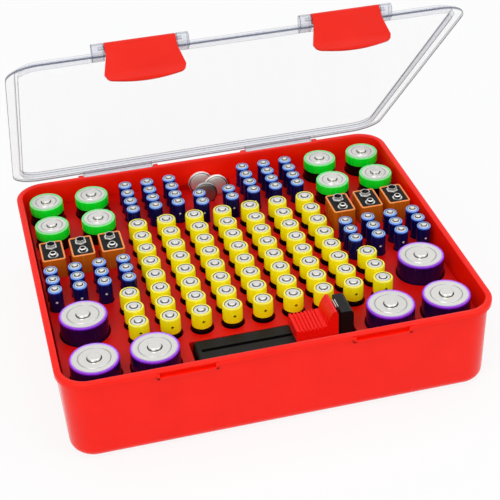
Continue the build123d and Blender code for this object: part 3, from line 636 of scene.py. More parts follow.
def prism(points: list[Point], travel: Point) -> Object:
    """Draws an outline by extruding one corner after another, fills it and pulls it into a prism.

    Args:
        points: The corners.
        travel: How far and where the filled outline is pulled.

    Returns:
        The closed prism.
    """
    clear_selection()
    bpy.ops.mesh.primitive_plane_add(size=MM, location=Vector(points[0]) * MM)
    obj = open_mesh()
    bpy.ops.mesh.merge(type="CENTER")
    for here, there in zip(points, points[1:]):
        step = (Vector(there) - Vector(here)) * MM
        bpy.ops.mesh.extrude_vertices_move(TRANSFORM_OT_translate={"value": step})
    bpy.ops.mesh.select_all(action="SELECT")
    bpy.ops.mesh.edge_face_add()
    bpy.ops.mesh.extrude_region_move(TRANSFORM_OT_translate={"value": Vector(travel) * MM})
    close_mesh()
    return obj


def bar(points: Profile, middle: float, width: float, round_off: float = 0.0) -> Object:
    """A bar along X with the given outline in Y and Z.

    Args:
        points: The outline.
        middle: Middle of the bar along X.
        width: Length of the bar.
        round_off: Bevel of its edges.

    Returns:
        The bar.
    """
    obj = prism([(middle - width / 2, y, z) for y, z in points], (width, 0, 0))
    if round_off:
        round_edges(obj, round_off)
    return obj


def arc(y: float, z: float, radius: float, start: float, end: float, steps: int) -> Profile:
    """Points on an arc round y and z in the YZ plane; its angles go from +Y towards +Z."""
    angles = [radians(start + (end - start) * i / steps) for i in range(steps + 1)]
    return [(y + radius * cos(a), z + radius * sin(a)) for a in angles]


def ring(y: float, z: float, radius: float) -> Profile:
    """A full circle of points in the YZ plane."""
    return arc(y, z, radius, start=0, end=360 - 360 / RING_POINTS, steps=RING_POINTS - 1)


def rectangle(y0: float, z0: float, y1: float, z1: float) -> Profile:
    """The four corners of a rectangle in the YZ plane."""
    return [(y0, z0), (y1, z0), (y1, z1), (y0, z1)]


def rounded_slab(
    width: float, depth: float, radius: float, low: float, height: float, segments: int
) -> Object:
    """A flat slab with rounded upright corners.

    Args:
        width: Size along X.
        depth: Size along Y.
        radius: Corner radius.
        low: Its underside.
        height: Its thickness.
        segments: Steps round each corner.

    Returns:
        The slab.
    """
    clear_selection()
    bpy.ops.mesh.primitive_plane_add(size=1, location=(0, 0, low * MM))
    bpy.context.object.scale = (width * MM, depth * MM, 1)
    obj = open_mesh()
    bpy.ops.mesh.bevel(offset=radius * MM, segments=segments, affect="VERTICES", offset_type="OFFSET")
    bpy.ops.mesh.select_all(action="SELECT")
    bpy.ops.mesh.extrude_region_move(TRANSFORM_OT_translate={"value": (0, 0, height * MM)})
    close_mesh()
    return obj


def step_face(obj: Object, test: FaceTest, steps: list[Place]) -> None:
    """Insets one face again and again, each time moving it along its own direction.

    Args:
        obj: The piece.
        test: Picks the face to start from.
        steps: How far each inset goes in, and how far it then moves out along the face.
    """
    pick_faces(obj, test)
    for inward, outward in steps:
        bpy.ops.mesh.inset(thickness=inward * MM, depth=outward * MM)
    bpy.ops.object.mode_set(mode="OBJECT")


def is_top(face: MeshPolygon) -> bool:
    """Whether a face looks straight up."""
    return face.normal.z > LEVEL


def is_underside(face: MeshPolygon) -> bool:
    """Whether a face is the large one that looks straight down."""
    return face.normal.z < -LEVEL and len(face.vertices) > 4


def move(obj: Object, matrix: Matrix) -> None:
    """Moves a piece by a matrix and puts its new place into its mesh."""
    obj.matrix_world = matrix @ obj.matrix_world
    settle(obj)


def open_lid(obj: Object) -> None:
    """Turns a piece modelled on the closed case about the hinge line to where the lid stands open.

    Args:
        obj: The piece.
    """
    hinge = Matrix.Translation((0, HINGE_Y * MM, HINGE_Z * MM))
    turn = Matrix.Rotation(radians(-LID_OPEN), 4, "X")
    move(obj, hinge @ turn @ hinge.inverted())


def repeated(model: Object, places: list[Place]) -> Object:
    """Copies a model to a list of places, each copy with its own mesh, and joins the copies.

    Args:
        model: The piece modelled once, at the origin.
        places: x and y of each copy.

    Returns:
        The joined piece.
    """
    copies = []
    for x, y in places:
        take(model)
        bpy.ops.object.duplicate(linked=False)
        copies.append(bpy.context.object)
        move(copies[-1], Matrix.Translation((x * MM, y * MM, 0)))
    clear_selection()
    bpy.data.objects.remove(model, do_unlink=True)
    return merge(copies)


# Cells


def grid(pitch: Place, columns: int, rows: int, x: float, y: float) -> list[Place]:
    """Places of a grid round a middle point.

    Args:
        pitch: Distance of the columns and of the rows.
        columns: Number of columns.
        rows: Number of rows.
        x: Middle of the grid.
        y: Middle of the grid.

    Returns:
        The x and y of each place.
    """
    places = []
    for column in range(columns):
        for row in range(rows):
            place = (x + pitch[0] * (column - (columns - 1) / 2), y + pitch[1] * (row - (rows - 1) / 2))
            places.append(place)
    return places


def both_sides(pitch: Place, columns: int, rows: int, x: float, y: float) -> list[Place]:
    """The same grid on the left and on the right of the case; the arguments are those of grid."""
    return grid(pitch, columns, rows, -x, y) + grid(pitch, columns, rows, x, y)


# Distance of the columns and of the rows; 0 where there is only one row
AA_PITCH = (22.3, 17.8)
AAA_PITCH = (18.0, 12.6)
AAA_WELL_PITCH = (24.0, 12.6)
C_PITCH = (36.2, 36.2)
D_PITCH = (41.2, 0.0)
BLOCK_PITCH = (22.4, 0.0)
SIDE_X = 113.1

AA_PLACES = grid(AA_PITCH, 7, 8, x=0, y=-8.4) + both_sides(AA_PITCH, 1, 3, x=89.2, y=-52.9)
AAA_PLACES = both_sides(AAA_PITCH, 4, 3, x=SIDE_X, y=-4.5) + both_sides(AAA_PITCH, 3, 4, x=48.7, y=93.2)
AAA_PLACES += grid(AAA_WELL_PITCH, 2, 2, x=0, y=75.7)
C_PLACES = both_sides(C_PITCH, 2, 2, x=SIDE_X, y=88.4)
D_PLACES = both_sides(D_PITCH, 2, 1, x=104.4, y=-102.8) + both_sides(D_PITCH, 1, 1, x=125.0, y=-51.4)
BLOCK_PLACES = both_sides(BLOCK_PITCH, 3, 1, x=SIDE_X, y=35.8)


@dataclass
class RoundCells(Piece):
    """One size of round cell: a film-wrapped can with a folded rim, a seal, a pressed cap and a nub."""

    sides: int
    places: list[Place]
    radius: float
    low: float
    top: float
    band: float
    rim: float
    nub: float
    nub_top: float
    body_film: Finish
    band_film: Finish
    # The rim's paler film is a painted highlight; the seal is black nylon, and on the larger cells a painted
    # highlight
    rim_painted_highlight: Finish
    seal_or_painted_highlight: Finish = Finish.SEAL
    seal_width: float = 0.9
    seal_drop: float = 0.9
    foot_round: float = 0.6
    shoulder: float = 0.9
    grooves: tuple[float, ...] = ()
    groove_drop: float = 0.6
    mark: Optional[Finish] = None
    mark_drop: float = 6.0
    mark_half: float = 1.1
    mark_arm: float = 0.3
    mark_proud: float = 0.05
    mark_depth: float = 0.4

    def rings(self) -> list[Ring]:
        """Lists the rings of the cell from its foot to its nub.

        Returns:
            Radius, height and finish of each; the finish is that of the band which ends there.
        """
        edge, top, nub = self.radius, self.top, self.nub
        steel, satin, dark = Finish.STEEL, Finish.SATIN_AND_PAINTED_SHADE_STEEL, Finish.STEEL_PAINTED_SHADE
        seal = edge - self.rim
        plate = seal - self.seal_width
        # The rim film, and the seal film on the larger cells, are paler copies as painted highlight
        rings = [
            (edge - self.foot_round, self.low, steel),
            (edge, self.low + self.foot_round, self.body_film),
            (edge, top - self.band, self.body_film),
            (edge, top - self.shoulder, self.band_film),
            (edge - 0.4, top - 0.25, self.rim_painted_highlight),
            (seal, top - 0.15, self.rim_painted_highlight),
            (seal - 0.15, top - self.seal_drop, self.seal_or_painted_highlight),
            (plate + 0.2, top - self.seal_drop, self.seal_or_painted_highlight),
            (plate, top - 0.35, steel),
        ]
        # The pressed grooves are duller, as painted shade
        for groove in self.grooves:
            rings += [
                (groove + 0.45, top - 0.3, steel),
                (groove + 0.25, top - self.groove_drop, satin),
                (groove - 0.25, top - self.groove_drop, satin),
                (groove - 0.45, top - 0.25, steel),
            ]
        # The foot of the nub is dark, as painted shade
        rings += [
            (nub + 0.75, top - 0.2, steel),
            (nub + 0.6, top - self.groove_drop, dark),
            (nub + 0.15, top - 0.5, dark),
            (nub, self.nub_top - 0.25, steel),
            (nub - 0.4, self.nub_top, steel),
        ]
        return rings

    def polarity_mark(self) -> Object:
        """Makes the plain plus sign printed on the front of the film.

        Returns:
            The sign, a hair proud of the film.
        """
        a, b = self.mark_arm, self.mark_half
        cross = [(-a, b), (a, b), (a, a), (b, a), (b, -a), (a, -a)]
        cross += [(-x, -z) for x, z in cross]
        level = self.top - self.mark_drop
        front = -self.radius - self.mark_proud
        sign = prism([(x, front, level + z) for x, z in cross], (0, self.mark_depth, 0))
        dress(sign, [self.mark])
        return sign

    def model(self) -> Object:
        """Models one cell and copies it to its places.

        Returns:
            The joined cells.
        """
        cell = turned_in_bands(self.rings(), self.sides, angle=32)
        if self.mark:
            cell = merge([cell, self.polarity_mark()])
        return repeated(cell, self.places)


@dataclass
class BlockCells(Piece):
    """The block cells: a printed can with a folded rim, a fibre plate and two snap terminals."""

    width: float = 17.5
    depth: float = 26.5
    corner: float = 2.2
    low: float = 18.9
    top: float = 64.7
    corner_steps: int = 4
    crown: float = 0.5
    crown_margin: float = 0.05
    rim_steps: tuple[Place, ...] = ((0.15, 0.35), (0.35, 0.15), (0.75, 0.0), (0.15, -0.55))
    terminal_y: float = 6.35
    terminal_drop: float = 0.6

    def can(self) -> Object:
        """Makes the can with its rim and the sunken plate.

        Returns:
            The can.
        """
        shoulder = self.top - self.crown
        straight = shoulder - self.low
        can = rounded_slab(self.width, self.depth, self.corner, self.low, straight, self.corner_steps)
        step_face(can, is_top, list(self.rim_steps))

        def choose(face: MeshPolygon) -> int:
            """Tells the side, the rim and the plate of the can apart: the side in painted shade, the rim in
            painted highlight.

            Args:
                face: A face of the can.

            Returns:
                Its slot.
            """
            if face.center.z / MM > shoulder - self.crown_margin and len(face.vertices) == 4:
                return 1
            return 2 if abs(face.normal.z) > LEVEL else 0

        dress(can, [Finish.ORANGE_PAINTED_SHADE, Finish.BLOCK_RIM_PAINTED_HIGHLIGHT, Finish.BOARD], choose)
        smooth(can, angle=35)
        return can

    def terminals(self) -> list[Object]:
        """Makes the round stud and the six-sided socket.

        Returns:
            The two terminals in place.
        """
        base = self.top - self.terminal_drop
        bright, satin, dark = Finish.STEEL, Finish.SATIN_AND_PAINTED_SHADE_STEEL, Finish.STEEL_PAINTED_SHADE
        # The stud's neck and the socket's inside are dark, and the socket's flank duller, as painted shade
        stud = [
            (3.9, base, bright), (3.9, base + 0.7, bright), (2.75, base + 0.9, bright),
            (2.75, base + 2.6, dark), (2.4, base + 3.0, bright), (1.7, base + 3.0, bright),
            (1.5, base + 2.2, dark),
        ]
        socket = [
            (4.6, base, bright), (4.6, base + 0.6, bright), (3.5, base + 0.9, bright),
            (3.9, base + 2.9, satin), (3.3, base + 2.9, bright), (2.6, base + 0.9, dark),
        ]
        made = []
        for rings, sides, y in ((stud, 20, -self.terminal_y), (socket, 6, self.terminal_y)):
            terminal = turned_in_bands(rings, sides, angle=40)
            move(terminal, Matrix.Translation((0, y * MM, 0)))
            made.append(terminal)
        return made

    def model(self) -> Object:
        """Models one cell and copies it to its places."""
        return repeated(merge([self.can()] + self.terminals()), BLOCK_PLACES)


@dataclass
class CoinCells(Piece):
    """Coin cells on edge in the well, each a can with a smaller crimped cap towards the front."""

    radius: float = 10.0
    thickness: float = 3.2
    crimp: float = 0.75
    sides: int = 40
    centre: float = 51.2
    front: Place = (-3.0, 104.0)
    behind: tuple[Place, ...] = ((8.0, 113.0), (-3.0, 122.0))

    def coin(self, steel: Finish) -> Object:
        """Makes one coin cell standing on edge.

        Args:
            steel: The finish of its can and cap.

        Returns:
            The coin cell, at the middle of its row.
        """
        half, rim = self.thickness / 2, self.radius
        crimp = half - self.crimp
        # The crimp is dark, as painted shade
        dark = Finish.STEEL_PAINTED_SHADE
        rings = [
            (rim - 0.5, -half, steel), (rim, -half + 0.5, steel), (rim, half - 0.9, steel),
            (rim - 0.5, half - 0.6, steel), (rim - 0.9, crimp, dark), (rim - 1.2, crimp, dark),
            (rim - 1.4, half - 0.2, steel), (rim - 1.9, half, steel),
        ]
        coin = turned_in_bands(rings, self.sides, angle=40)
        move(coin, Matrix.Translation((0, 0, self.centre * MM)) @ Matrix.Rotation(pi / 2, 4, "X"))
        return coin

    def model(self) -> Object:
        """Models the coin cells and copies them to their places.

        Returns:
            The joined cells.
        """
        # The coin in front is darker, as painted shade, and those behind are paler, as painted highlight
        near = repeated(self.coin(Finish.SATIN_AND_PAINTED_SHADE_STEEL), [self.front])
        far = repeated(self.coin(Finish.STEEL_PAINTED_HIGHLIGHT), list(self.behind))
        return merge([near, far])


# Case


@dataclass
class CaseBase(Piece):
    """The lower case: drafted walls under a rounded rim lip, catches in front and hinge ears behind."""

    lip_height: float = 4.0
    lip_reach: float = 2.6
    rim_round: float = 0.9
    rim_steps: tuple[Place, ...] = ((0.12, 0.45), (0.3, 0.3), (0.48, 0.15))
    inner_round: float = 0.7
    inner_steps: tuple[Place, ...] = ((0.4, -0.15), (0.3, -0.55))
    lip_under: Place = (0.3, 0.3)
    wall_top: Place = (0.4, 0.2)
    wall: float = 2.2
    inner_lean: float = 1.7
    lean: float = 1.45
    bottom_round: float = 8.0
    bottom_steps: int = 6
    floor: float = 2.4
    post_width: float = 2.2
    post_drop: float = 0.4
    groove_low: float = 62.8
    groove_high: float = 66.7
    groove_depth: float = 2.2
    bar_height: float = 2.0
    catch_proud: float = 0.4
    catch_root: float = 4.0
    catch_round: float = 0.35
    notch_low: float = 60.0
    notch_high: float = 70.0
    ear_width: float = 4.0
    ear_low: float = 55.4
    ear_root: float = 3.6
    ear_edge: float = 0.3
    pin_grip: float = 4.0

    def shell(self) -> Object:
        """Makes the walls, floor and rim lip.

        Returns:
            One closed shell.
        """
        low = RIM_LEVEL - self.lip_height
        thick = self.lip_height - self.rim_round
        shell = rounded_slab(CASE_WIDTH, CASE_DEPTH, CASE_CORNER, low, thick, CORNER_STEPS)
        flat = self.lip_reach + self.wall - self.rim_round - self.inner_round
        drop = RIM_LEVEL - self.floor - self.inner_round
        step_face(shell, is_top, [*self.rim_steps, (flat, 0.0), *self.inner_steps, (self.inner_lean, -drop)])
        (lip_in, lip_down), (wall_in, wall_down) = self.lip_under, self.wall_top
        ledge = self.lip_reach - lip_in - wall_in
        wall_drop = low - self.bottom_round - lip_down - wall_down
        steps = [self.lip_under, (ledge, 0.0), self.wall_top, (self.lean, wall_drop)]
        angles = [radians(90 / self.bottom_steps * k) for k in range(self.bottom_steps + 1)]
        for before, after in zip(angles, angles[1:]):
            inward = self.bottom_round * (cos(before) - cos(after))
            steps.append((inward, self.bottom_round * (sin(after) - sin(before))))
        step_face(shell, is_underside, steps)
        return shell

    def model(self) -> Object:
        """Builds the lower case with its catches, hinge ears and pins.

        Returns:
            The piece.
        """
        shell = self.shell()
        face, foot = CASE_FRONT - self.catch_proud, self.groove_low - self.bar_height
        inside = CASE_FRONT + self.groove_depth
        groove = rectangle(CASE_FRONT - OVERRUN, self.groove_low, inside, self.groove_high)
        catch = rectangle(face, foot, CASE_FRONT + self.catch_root, self.groove_low)
        post = rectangle(face, foot, CASE_FRONT + self.catch_root, self.groove_high - self.post_drop)
        notch = rectangle(CASE_BACK - self.lip_reach, self.notch_low, CASE_BACK + OVERRUN, self.notch_high)
        root = CASE_BACK - self.ear_root
        knuckle = arc(HINGE_Y, HINGE_Z, HINGE_ROUND, start=-80, end=90, steps=10)
        ear = [(root, self.ear_low)] + knuckle + [(root, HINGE_Z + HINGE_ROUND)]
        pin = ring(HINGE_Y, HINGE_Z, PIN_ROUND)
        post_step = (CATCH_WIDTH - self.post_width) / 2
        ear_step = HINGE_WIDTH / 2 + PLAY + self.ear_width / 2
        parts = []
        for side in BOTH_ENDS:
            latch_x, hinge_x = side * LATCH_X, side * HINGE_X
            combine(shell, bar(groove, latch_x, CATCH_WIDTH))
            combine(shell, bar(notch, hinge_x, HINGE_WIDTH + 2 * PLAY))
            parts.append(bar(catch, latch_x, CATCH_WIDTH, self.catch_round))
            for end in BOTH_ENDS:
                parts.append(bar(post, latch_x + end * post_step, self.post_width, self.catch_round))
                parts.append(bar(ear, hinge_x + end * ear_step, self.ear_width, self.ear_edge))
            parts.append(bar(pin, hinge_x, HINGE_WIDTH + self.pin_grip))
        shell = merge([shell] + parts)
        dress(shell, [Finish.CASE_RED])
        smooth(shell, angle=30)
        return shell


@dataclass
class DeckPlate(Piece):
    """The top skin of the tray, with a round mouth for every round cell and square ones for the rest."""

    width: float = 293.0
    depth: float = 254.0
    corner: float = 16.7
    corner_steps: int = 10
    low: float = 48.6
    high: float = 49.25
    edge: float = 0.22
    aa_mouth: float = 8.35
    aaa_mouth: float = 5.7
    c_mouth: float = 13.9
    d_mouth: float = 18.0
    block_mouth: Place = (19.0, 28.0)
    tester_slot: tuple[float, float, float, float] = (0, -97.5, 115.4, 24.4)
    coin_well: tuple[float, float, float, float] = (0, 94.6, 42.0, 62.8)
    well_corner: float = 1.5
    well_steps: int = 3

    def tools(self) -> Object:
        """Makes all the shapes to cut out of the plate.

        Returns:
            The shapes, joined into one.
        """
        low, high = self.low - OVERRUN, self.high + OVERRUN
        tools = []
        for radius, sides, places in (
            (self.aa_mouth, 24, AA_PLACES),
            (self.aaa_mouth, 20, AAA_PLACES),
            (self.c_mouth, 36, C_PLACES),
            (self.d_mouth, 44, D_PLACES),
        ):
            tools.append(repeated(turned([(radius, low), (radius, high)], sides), places))
        wells = [self.tester_slot, self.coin_well] + [(x, y, *self.block_mouth) for x, y in BLOCK_PLACES]
        for x, y, width, depth in wells:
            well = rounded_slab(width, depth, self.well_corner, low, high - low, self.well_steps)
            move(well, Matrix.Translation((x * MM, y * MM, 0)))
            tools.append(well)
        return merge(tools)

    def model(self) -> Object:
        """Builds the plate and cuts the mouths.

        Returns:
            The piece.
        """
        thick = self.high - self.low
        plate = rounded_slab(self.width, self.depth, self.corner, self.low, thick, self.corner_steps)
        combine(plate, self.tools())
        round_edges(plate, self.edge, segments=1, angle=50)
        # Its darker red is painted shade
        dress(plate, [Finish.TRAY_PAINTED_SHADE_RED])
        smooth(plate, angle=30)
        return plate


class LidFace(IntEnum):
    """The kinds of face on the lid; the value is the face's slot. Walls carry painted reflection, edges and
    folds painted shade.
    """

    PANEL = 0
    FLANGE = 1
    WALL = 2
    EDGE = 3
    FOLD = 4


LID_FINISHES = [
    Finish.LID_PANEL, Finish.LID_FLANGE, Finish.LID_PAINTED_REFLECTION, Finish.LID_PAINTED_SHADE_EDGE, Finish.LID_PAINTED_SHADE_FOLD,
]


@dataclass
class Lid(Piece):
    """The clear lid: a flange round a shallow pan, hinge tongues behind and latch knuckles in front."""

    low: float = 67.8
    flange: float = 2.2
    flange_width: float = 6.0
    fold: float = 0.35
    edge: float = 1.0
    pan_depth: float = 4.0
    panel: float = 2.0
    panel_inset: float = 2.4
    edge_lean: float = 0.2
    crease: float = 0.5
    wall_lean: float = 0.3
    wall_foot: Place = (0.25, 0.35)
    crown_steps: tuple[Place, ...] = ((0.3, 0.85), (0.6, 0.4), (1.2, 0.1))
    pan_wall: float = 1.7
    hollow_lip: Place = (0.25, -0.3)
    hollow_steps: tuple[Place, ...] = ((0.5, -0.5), (0.9, -0.2))
    flat: float = 0.95
    sloped: float = 0.4
    edge_depth: float = 0.06
    end_bevel: Place = (0.2, 0.95)
    back_bevel: Place = (0.75, 0.995)
    tongue_root: float = 1.0
    tongue_crest: float = 1.2
    tongue_edge: float = 0.4
    knuckle_width: float = 8.0
    knuckle_root: float = 8.0
    knuckle_foot: float = 0.6
    knuckle_edge: float = 0.5

    def pan(self) -> Object:
        """Makes the flange and the pan, closed.

        Returns:
            One closed shell.
        """
        fold, lean = self.fold, self.wall_lean
        pan = rounded_slab(CASE_WIDTH, CASE_DEPTH, CASE_CORNER, self.low + fold, self.edge, CORNER_STEPS)
        climb = self.pan_depth + self.panel - self.flange - self.wall_foot[1]
        climb -= sum(rise for _, rise in self.crown_steps)
        up = [(self.edge_lean, self.flange - self.edge - 2 * fold), (fold, fold)]
        up += [(self.flange_width - fold - self.crease, 0.0), self.wall_foot, (lean, climb)]
        step_face(pan, is_top, up + list(self.crown_steps))
        fall = -self.pan_depth - self.hollow_lip[1] - sum(drop for _, drop in self.hollow_steps)
        down = [(fold, fold), (self.flange_width - fold + self.pan_wall, 0.0), self.hollow_lip, (lean, fall)]
        step_face(pan, is_underside, down + list(self.hollow_steps))
        return pan

    def inset(self, x: float, y: float) -> float:
        """Measures how far a point lies inside the rounded outline of the lid.

        Args:
            x: Place of the point.
            y: Place of the point.

        Returns:
            The distance to the outline.
        """
        over_x = abs(x) - (CASE_WIDTH / 2 - CASE_CORNER)
        over_y = abs(y) - (CASE_DEPTH / 2 - CASE_CORNER)
        outside = Vector((max(over_x, 0.0), max(over_y, 0.0))).length
        return CASE_CORNER - outside - min(max(over_x, over_y), 0.0)

    def kind(self, face: MeshPolygon) -> LidFace:
        """Tells the kind of a face of the closed pan.

        Args:
            face: The face.

        Returns:
            Its kind, by its slope and its distance from the outline.
        """
        steep = abs(face.normal.z)
        depth = self.inset(face.center.x / MM, face.center.y / MM)
        if steep > self.flat:
            return LidFace.PANEL if depth > self.flange_width + self.panel_inset else LidFace.FLANGE
        # Folds and the outer edge take painted shade, the other walls painted reflection
        if steep > self.sloped:
            return LidFace.FOLD
        return LidFace.EDGE if depth < self.edge_depth else LidFace.WALL

    def fitting_kind(self, face: MeshPolygon) -> LidFace:
        """Tells the kind of a face of a tongue or knuckle.

        Args:
            face: The face.

        Returns:
            A fold in painted shade where it is rounded off, else a wall in painted reflection.
        """
        (end_low, end_high), (back_low, back_high) = self.end_bevel, self.back_bevel
        rounded_end = end_low < abs(face.normal.x) < end_high
        rounded_back = back_low < abs(face.normal.z) < back_high
        return LidFace.FOLD if rounded_end or rounded_back else LidFace.WALL

    def fittings(self) -> list[Object]:
        """Makes the hinge tongues, latch knuckles and latch pins, closed.

        Returns:
            The fittings.
        """
        low, top = self.low, self.low + self.flange
        root, crest = CASE_BACK - self.tongue_root, HINGE_Y + self.tongue_crest
        tongue = [(root, low), (HINGE_Y - HINGE_ROUND / 2, low)]
        tongue += arc(HINGE_Y, HINGE_Z, HINGE_ROUND, start=120, end=360, steps=12)
        tongue += [(HINGE_Y + HINGE_ROUND, HINGE_Z + HINGE_ROUND), (crest, top), (root, top)]
        knuckle = [(CASE_FRONT + self.knuckle_root, low), (CASE_FRONT + self.knuckle_root, top)]
        knuckle += arc(LATCH_Y, LATCH_Z, LATCH_ROUND, start=60, end=230, steps=10)
        knuckle.append((CASE_FRONT + self.knuckle_foot, low))
        pin = ring(LATCH_Y, LATCH_Z, PIN_ROUND)
        step = LATCH_WIDTH / 2 + PLAY + self.knuckle_width / 2
        parts = []
        for side in BOTH_ENDS:
            latch_x = side * LATCH_X
            parts.append(bar(tongue, side * HINGE_X, HINGE_WIDTH, self.tongue_edge))
            for end in BOTH_ENDS:
                parts.append(bar(knuckle, latch_x + end * step, self.knuckle_width, self.knuckle_edge))
            parts.append(bar(pin, latch_x, LATCH_WIDTH + self.knuckle_width))
        return parts

    def model(self) -> Object:
        """Builds the lid closed and swings it open.

        Returns:
            The piece.
        """
        pan = self.pan()
        dress(pan, LID_FINISHES, self.kind)
        fittings = self.fittings()
        for part in fittings:
            dress(part, LID_FINISHES, self.fitting_kind)
        lid = merge([pan] + fittings)
        smooth(lid, angle=30)
        open_lid(lid)
        return lid


@dataclass
class Latch(Piece):
    """One latch: a barrel on the lid, a plate that widens and rolls outwards, and a hook behind it."""

    middle: float
    bore: float = 1.25
    barrel_edge: float = 0.3
    plate: float = 2.3
    plate_edge: float = 0.5
    plate_rise: float = 1.0
    end_half: float = 26.0
    end_steps: int = 40
    straight: float = 6.0
    drop: float = 23.0
    bow: float = 3.4
    curl: float = 5.5
    curl_steps: int = 9
    flare: float = 2.6
    most_roll: float = 1.3
    corner_share: float = 0.173
    corner_lift: float = 4.5
    hook_low: float = 58.7
    hook_high: float = 60.5
    hook_root: float = -134.9
    hook_tip: float = -133.2
    hook_flat: float = 0.5
    reach: float = 20.0

    def side(self) -> Profile:
        """Draws the plate as seen from its side: straight, then rolled outwards.

        Returns:
            The outline in Y and Z.
        """
        outside = LATCH_Y - LATCH_ROUND
        bend = self.drop - self.curl
        outer = [(outside, LATCH_Z)]
        for k in range(self.curl_steps + 1):
            down = bend + (self.drop + self.bow - bend) * k / self.curl_steps
            roll = min((down - bend) / self.curl, self.most_roll)
            outer.append((outside - self.flare * roll**1.5, LATCH_Z - down))
        inner = [(y + self.plate, z) for y, z in reversed(outer)]
        return outer + inner

    def front(self) -> list[Place]:
        """Draws the plate as seen from the front: widening sides, rounded corners and a bowed end.

        Returns:
            The outline in X and Z.
        """
        end = []
        for k in range(self.end_steps + 1):
            across = 1 - 2 * k / self.end_steps
            corner = max(0.0, abs(across) - (1 - self.corner_share)) / self.corner_share
            lift = self.corner_lift * (1 - sqrt(max(0.0, 1 - corner**2)))
            down = self.drop + self.bow * (1 - across**2) - lift
            end.append((self.middle + across * self.end_half, LATCH_Z - down))
        right, left = self.middle + LATCH_WIDTH / 2, self.middle - LATCH_WIDTH / 2
        high, low = LATCH_Z + self.plate_rise, LATCH_Z - self.straight
        return [(right, high), (right, low)] + end + [(left, low), (left, high)]

    def hook(self) -> Profile:
        """The outline of the hook in Y and Z, a bar with the lower edge of its tip sloped off."""
        root, tip, low, high = self.hook_root, self.hook_tip, self.hook_low, self.hook_high
        return [(root, low), (root + self.hook_flat, low), (tip, (low + high) / 2), (tip, high), (root, high)]

    def model(self) -> Object:
        """Builds the latch closed and swings it open with the lid.

        Returns:
            The piece.
        """
        plate = bar(self.side(), self.middle, 2 * (self.end_half + OVERRUN))
        front = [(x, LATCH_Y - self.reach, z) for x, z in self.front()]
        combine(plate, prism(front, (0, 2 * self.reach, 0)), "INTERSECT")
        round_edges(plate, self.plate_edge, segments=2, angle=50)
        barrel = bar(ring(LATCH_Y, LATCH_Z, LATCH_ROUND), self.middle, LATCH_WIDTH, self.barrel_edge)
        combine(barrel, bar(ring(LATCH_Y, LATCH_Z, self.bore), self.middle, LATCH_WIDTH + 2 * OVERRUN))
        latch = merge([plate, barrel, bar(self.hook(), self.middle, CATCH_WIDTH)])
        dress(latch, [Finish.LATCH_RED])
        smooth(latch, angle=40)
        open_lid(latch)
        return latch


# Tester


Zone = tuple[float, float, Finish]


@dataclass
class DialPrint(Piece):
    """The print on the tester's card: plain zones round the needle's pivot, with ticks at their ends."""

    x: float = 25.0
    z: float = 33.5
    card: float = -104.1
    inner: float = 12.4
    outer: float = 15.2
    thickness: float = 0.08
    step: float = 4.0
    zones: tuple[Zone, ...] = (
        (14.0, 40.0, Finish.RED_INK),
        (4.0, 13.4, Finish.YELLOW_INK),
        (-40.0, 3.4, Finish.GREEN_INK),
    )
    ticks: tuple[float, ...] = (41.0, 13.7, 3.7, -41.0)
    tick_half: float = 0.7
    tick_inside: float = 1.6
    tick_outside: float = 0.8

    def strip(self, start: float, end: float, inner: float, outer: float) -> Object:
        """Makes one printed strip between two angles from straight down.

        Args:
            start: First angle.
            end: Last angle.
            inner: Inner radius.
            outer: Outer radius.

        Returns:
            The strip, on the card.
        """
        steps = max(1, round(abs(end - start) / self.step))
        angles = [radians(start + (end - start) * k / steps) for k in range(steps + 1)]
        rim = [(outer, a) for a in angles] + [(inner, a) for a in reversed(angles)]
        front = self.card - self.thickness
        points = [(self.x + r * sin(a), front, self.z - r * cos(a)) for r, a in rim]
        return prism(points, (0, 2 * self.thickness, 0))

    def model(self) -> Object:
        """Builds the strips and ticks.

        Returns:
            The piece.
        """
        strips = []
        for start, end, finish in self.zones:
            strip = self.strip(start, end, self.inner, self.outer)
            dress(strip, [finish])
            strips.append(strip)
        inner, outer = self.inner - self.tick_inside, self.outer + self.tick_outside
        for angle in self.ticks:
            tick = self.strip(angle - self.tick_half, angle + self.tick_half, inner, outer)
            dress(tick, [Finish.BLACK])
            strips.append(tick)
        return merge(strips)


CAD_FINISHES = {
    "insert_tray": Finish.TRAY_PAINTED_SHADE_RED,
    "tester_front_shell": Finish.CHARCOAL,
    "tester_back_shell": Finish.CHARCOAL,
    "tester_window": Finish.PANE,
    "tester_dial_card": Finish.CARD,
    "tester_needle": Finish.NEEDLE,
    "tester_pivot_cover": Finish.PHENOLIC,
    "tester_movement": Finish.PHENOLIC,
    "tester_load_resistor": Finish.PHENOLIC,
    "tester_slider": Finish.SLIDER_RED,
    "tester_slider_clip": Finish.PHENOLIC,
    "tester_slider_contact": Finish.STEEL,
    "tester_arm_contact": Finish.STEEL,
    "tester_end_contacts": Finish.STEEL,
}


def dress_solids() -> None:
    """Gives every solid that stays in view its finish."""
    for name, finish in CAD_FINISHES.items():
        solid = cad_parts[name]
        solid.data.materials.clear()
        solid.data.materials.append(finish.material())


# Studio


@dataclass(frozen=True)
class SoftBox:
    """A square soft light: its name, place, size and power in watts."""

    name: str
    place: Point
    size: float
    power: float


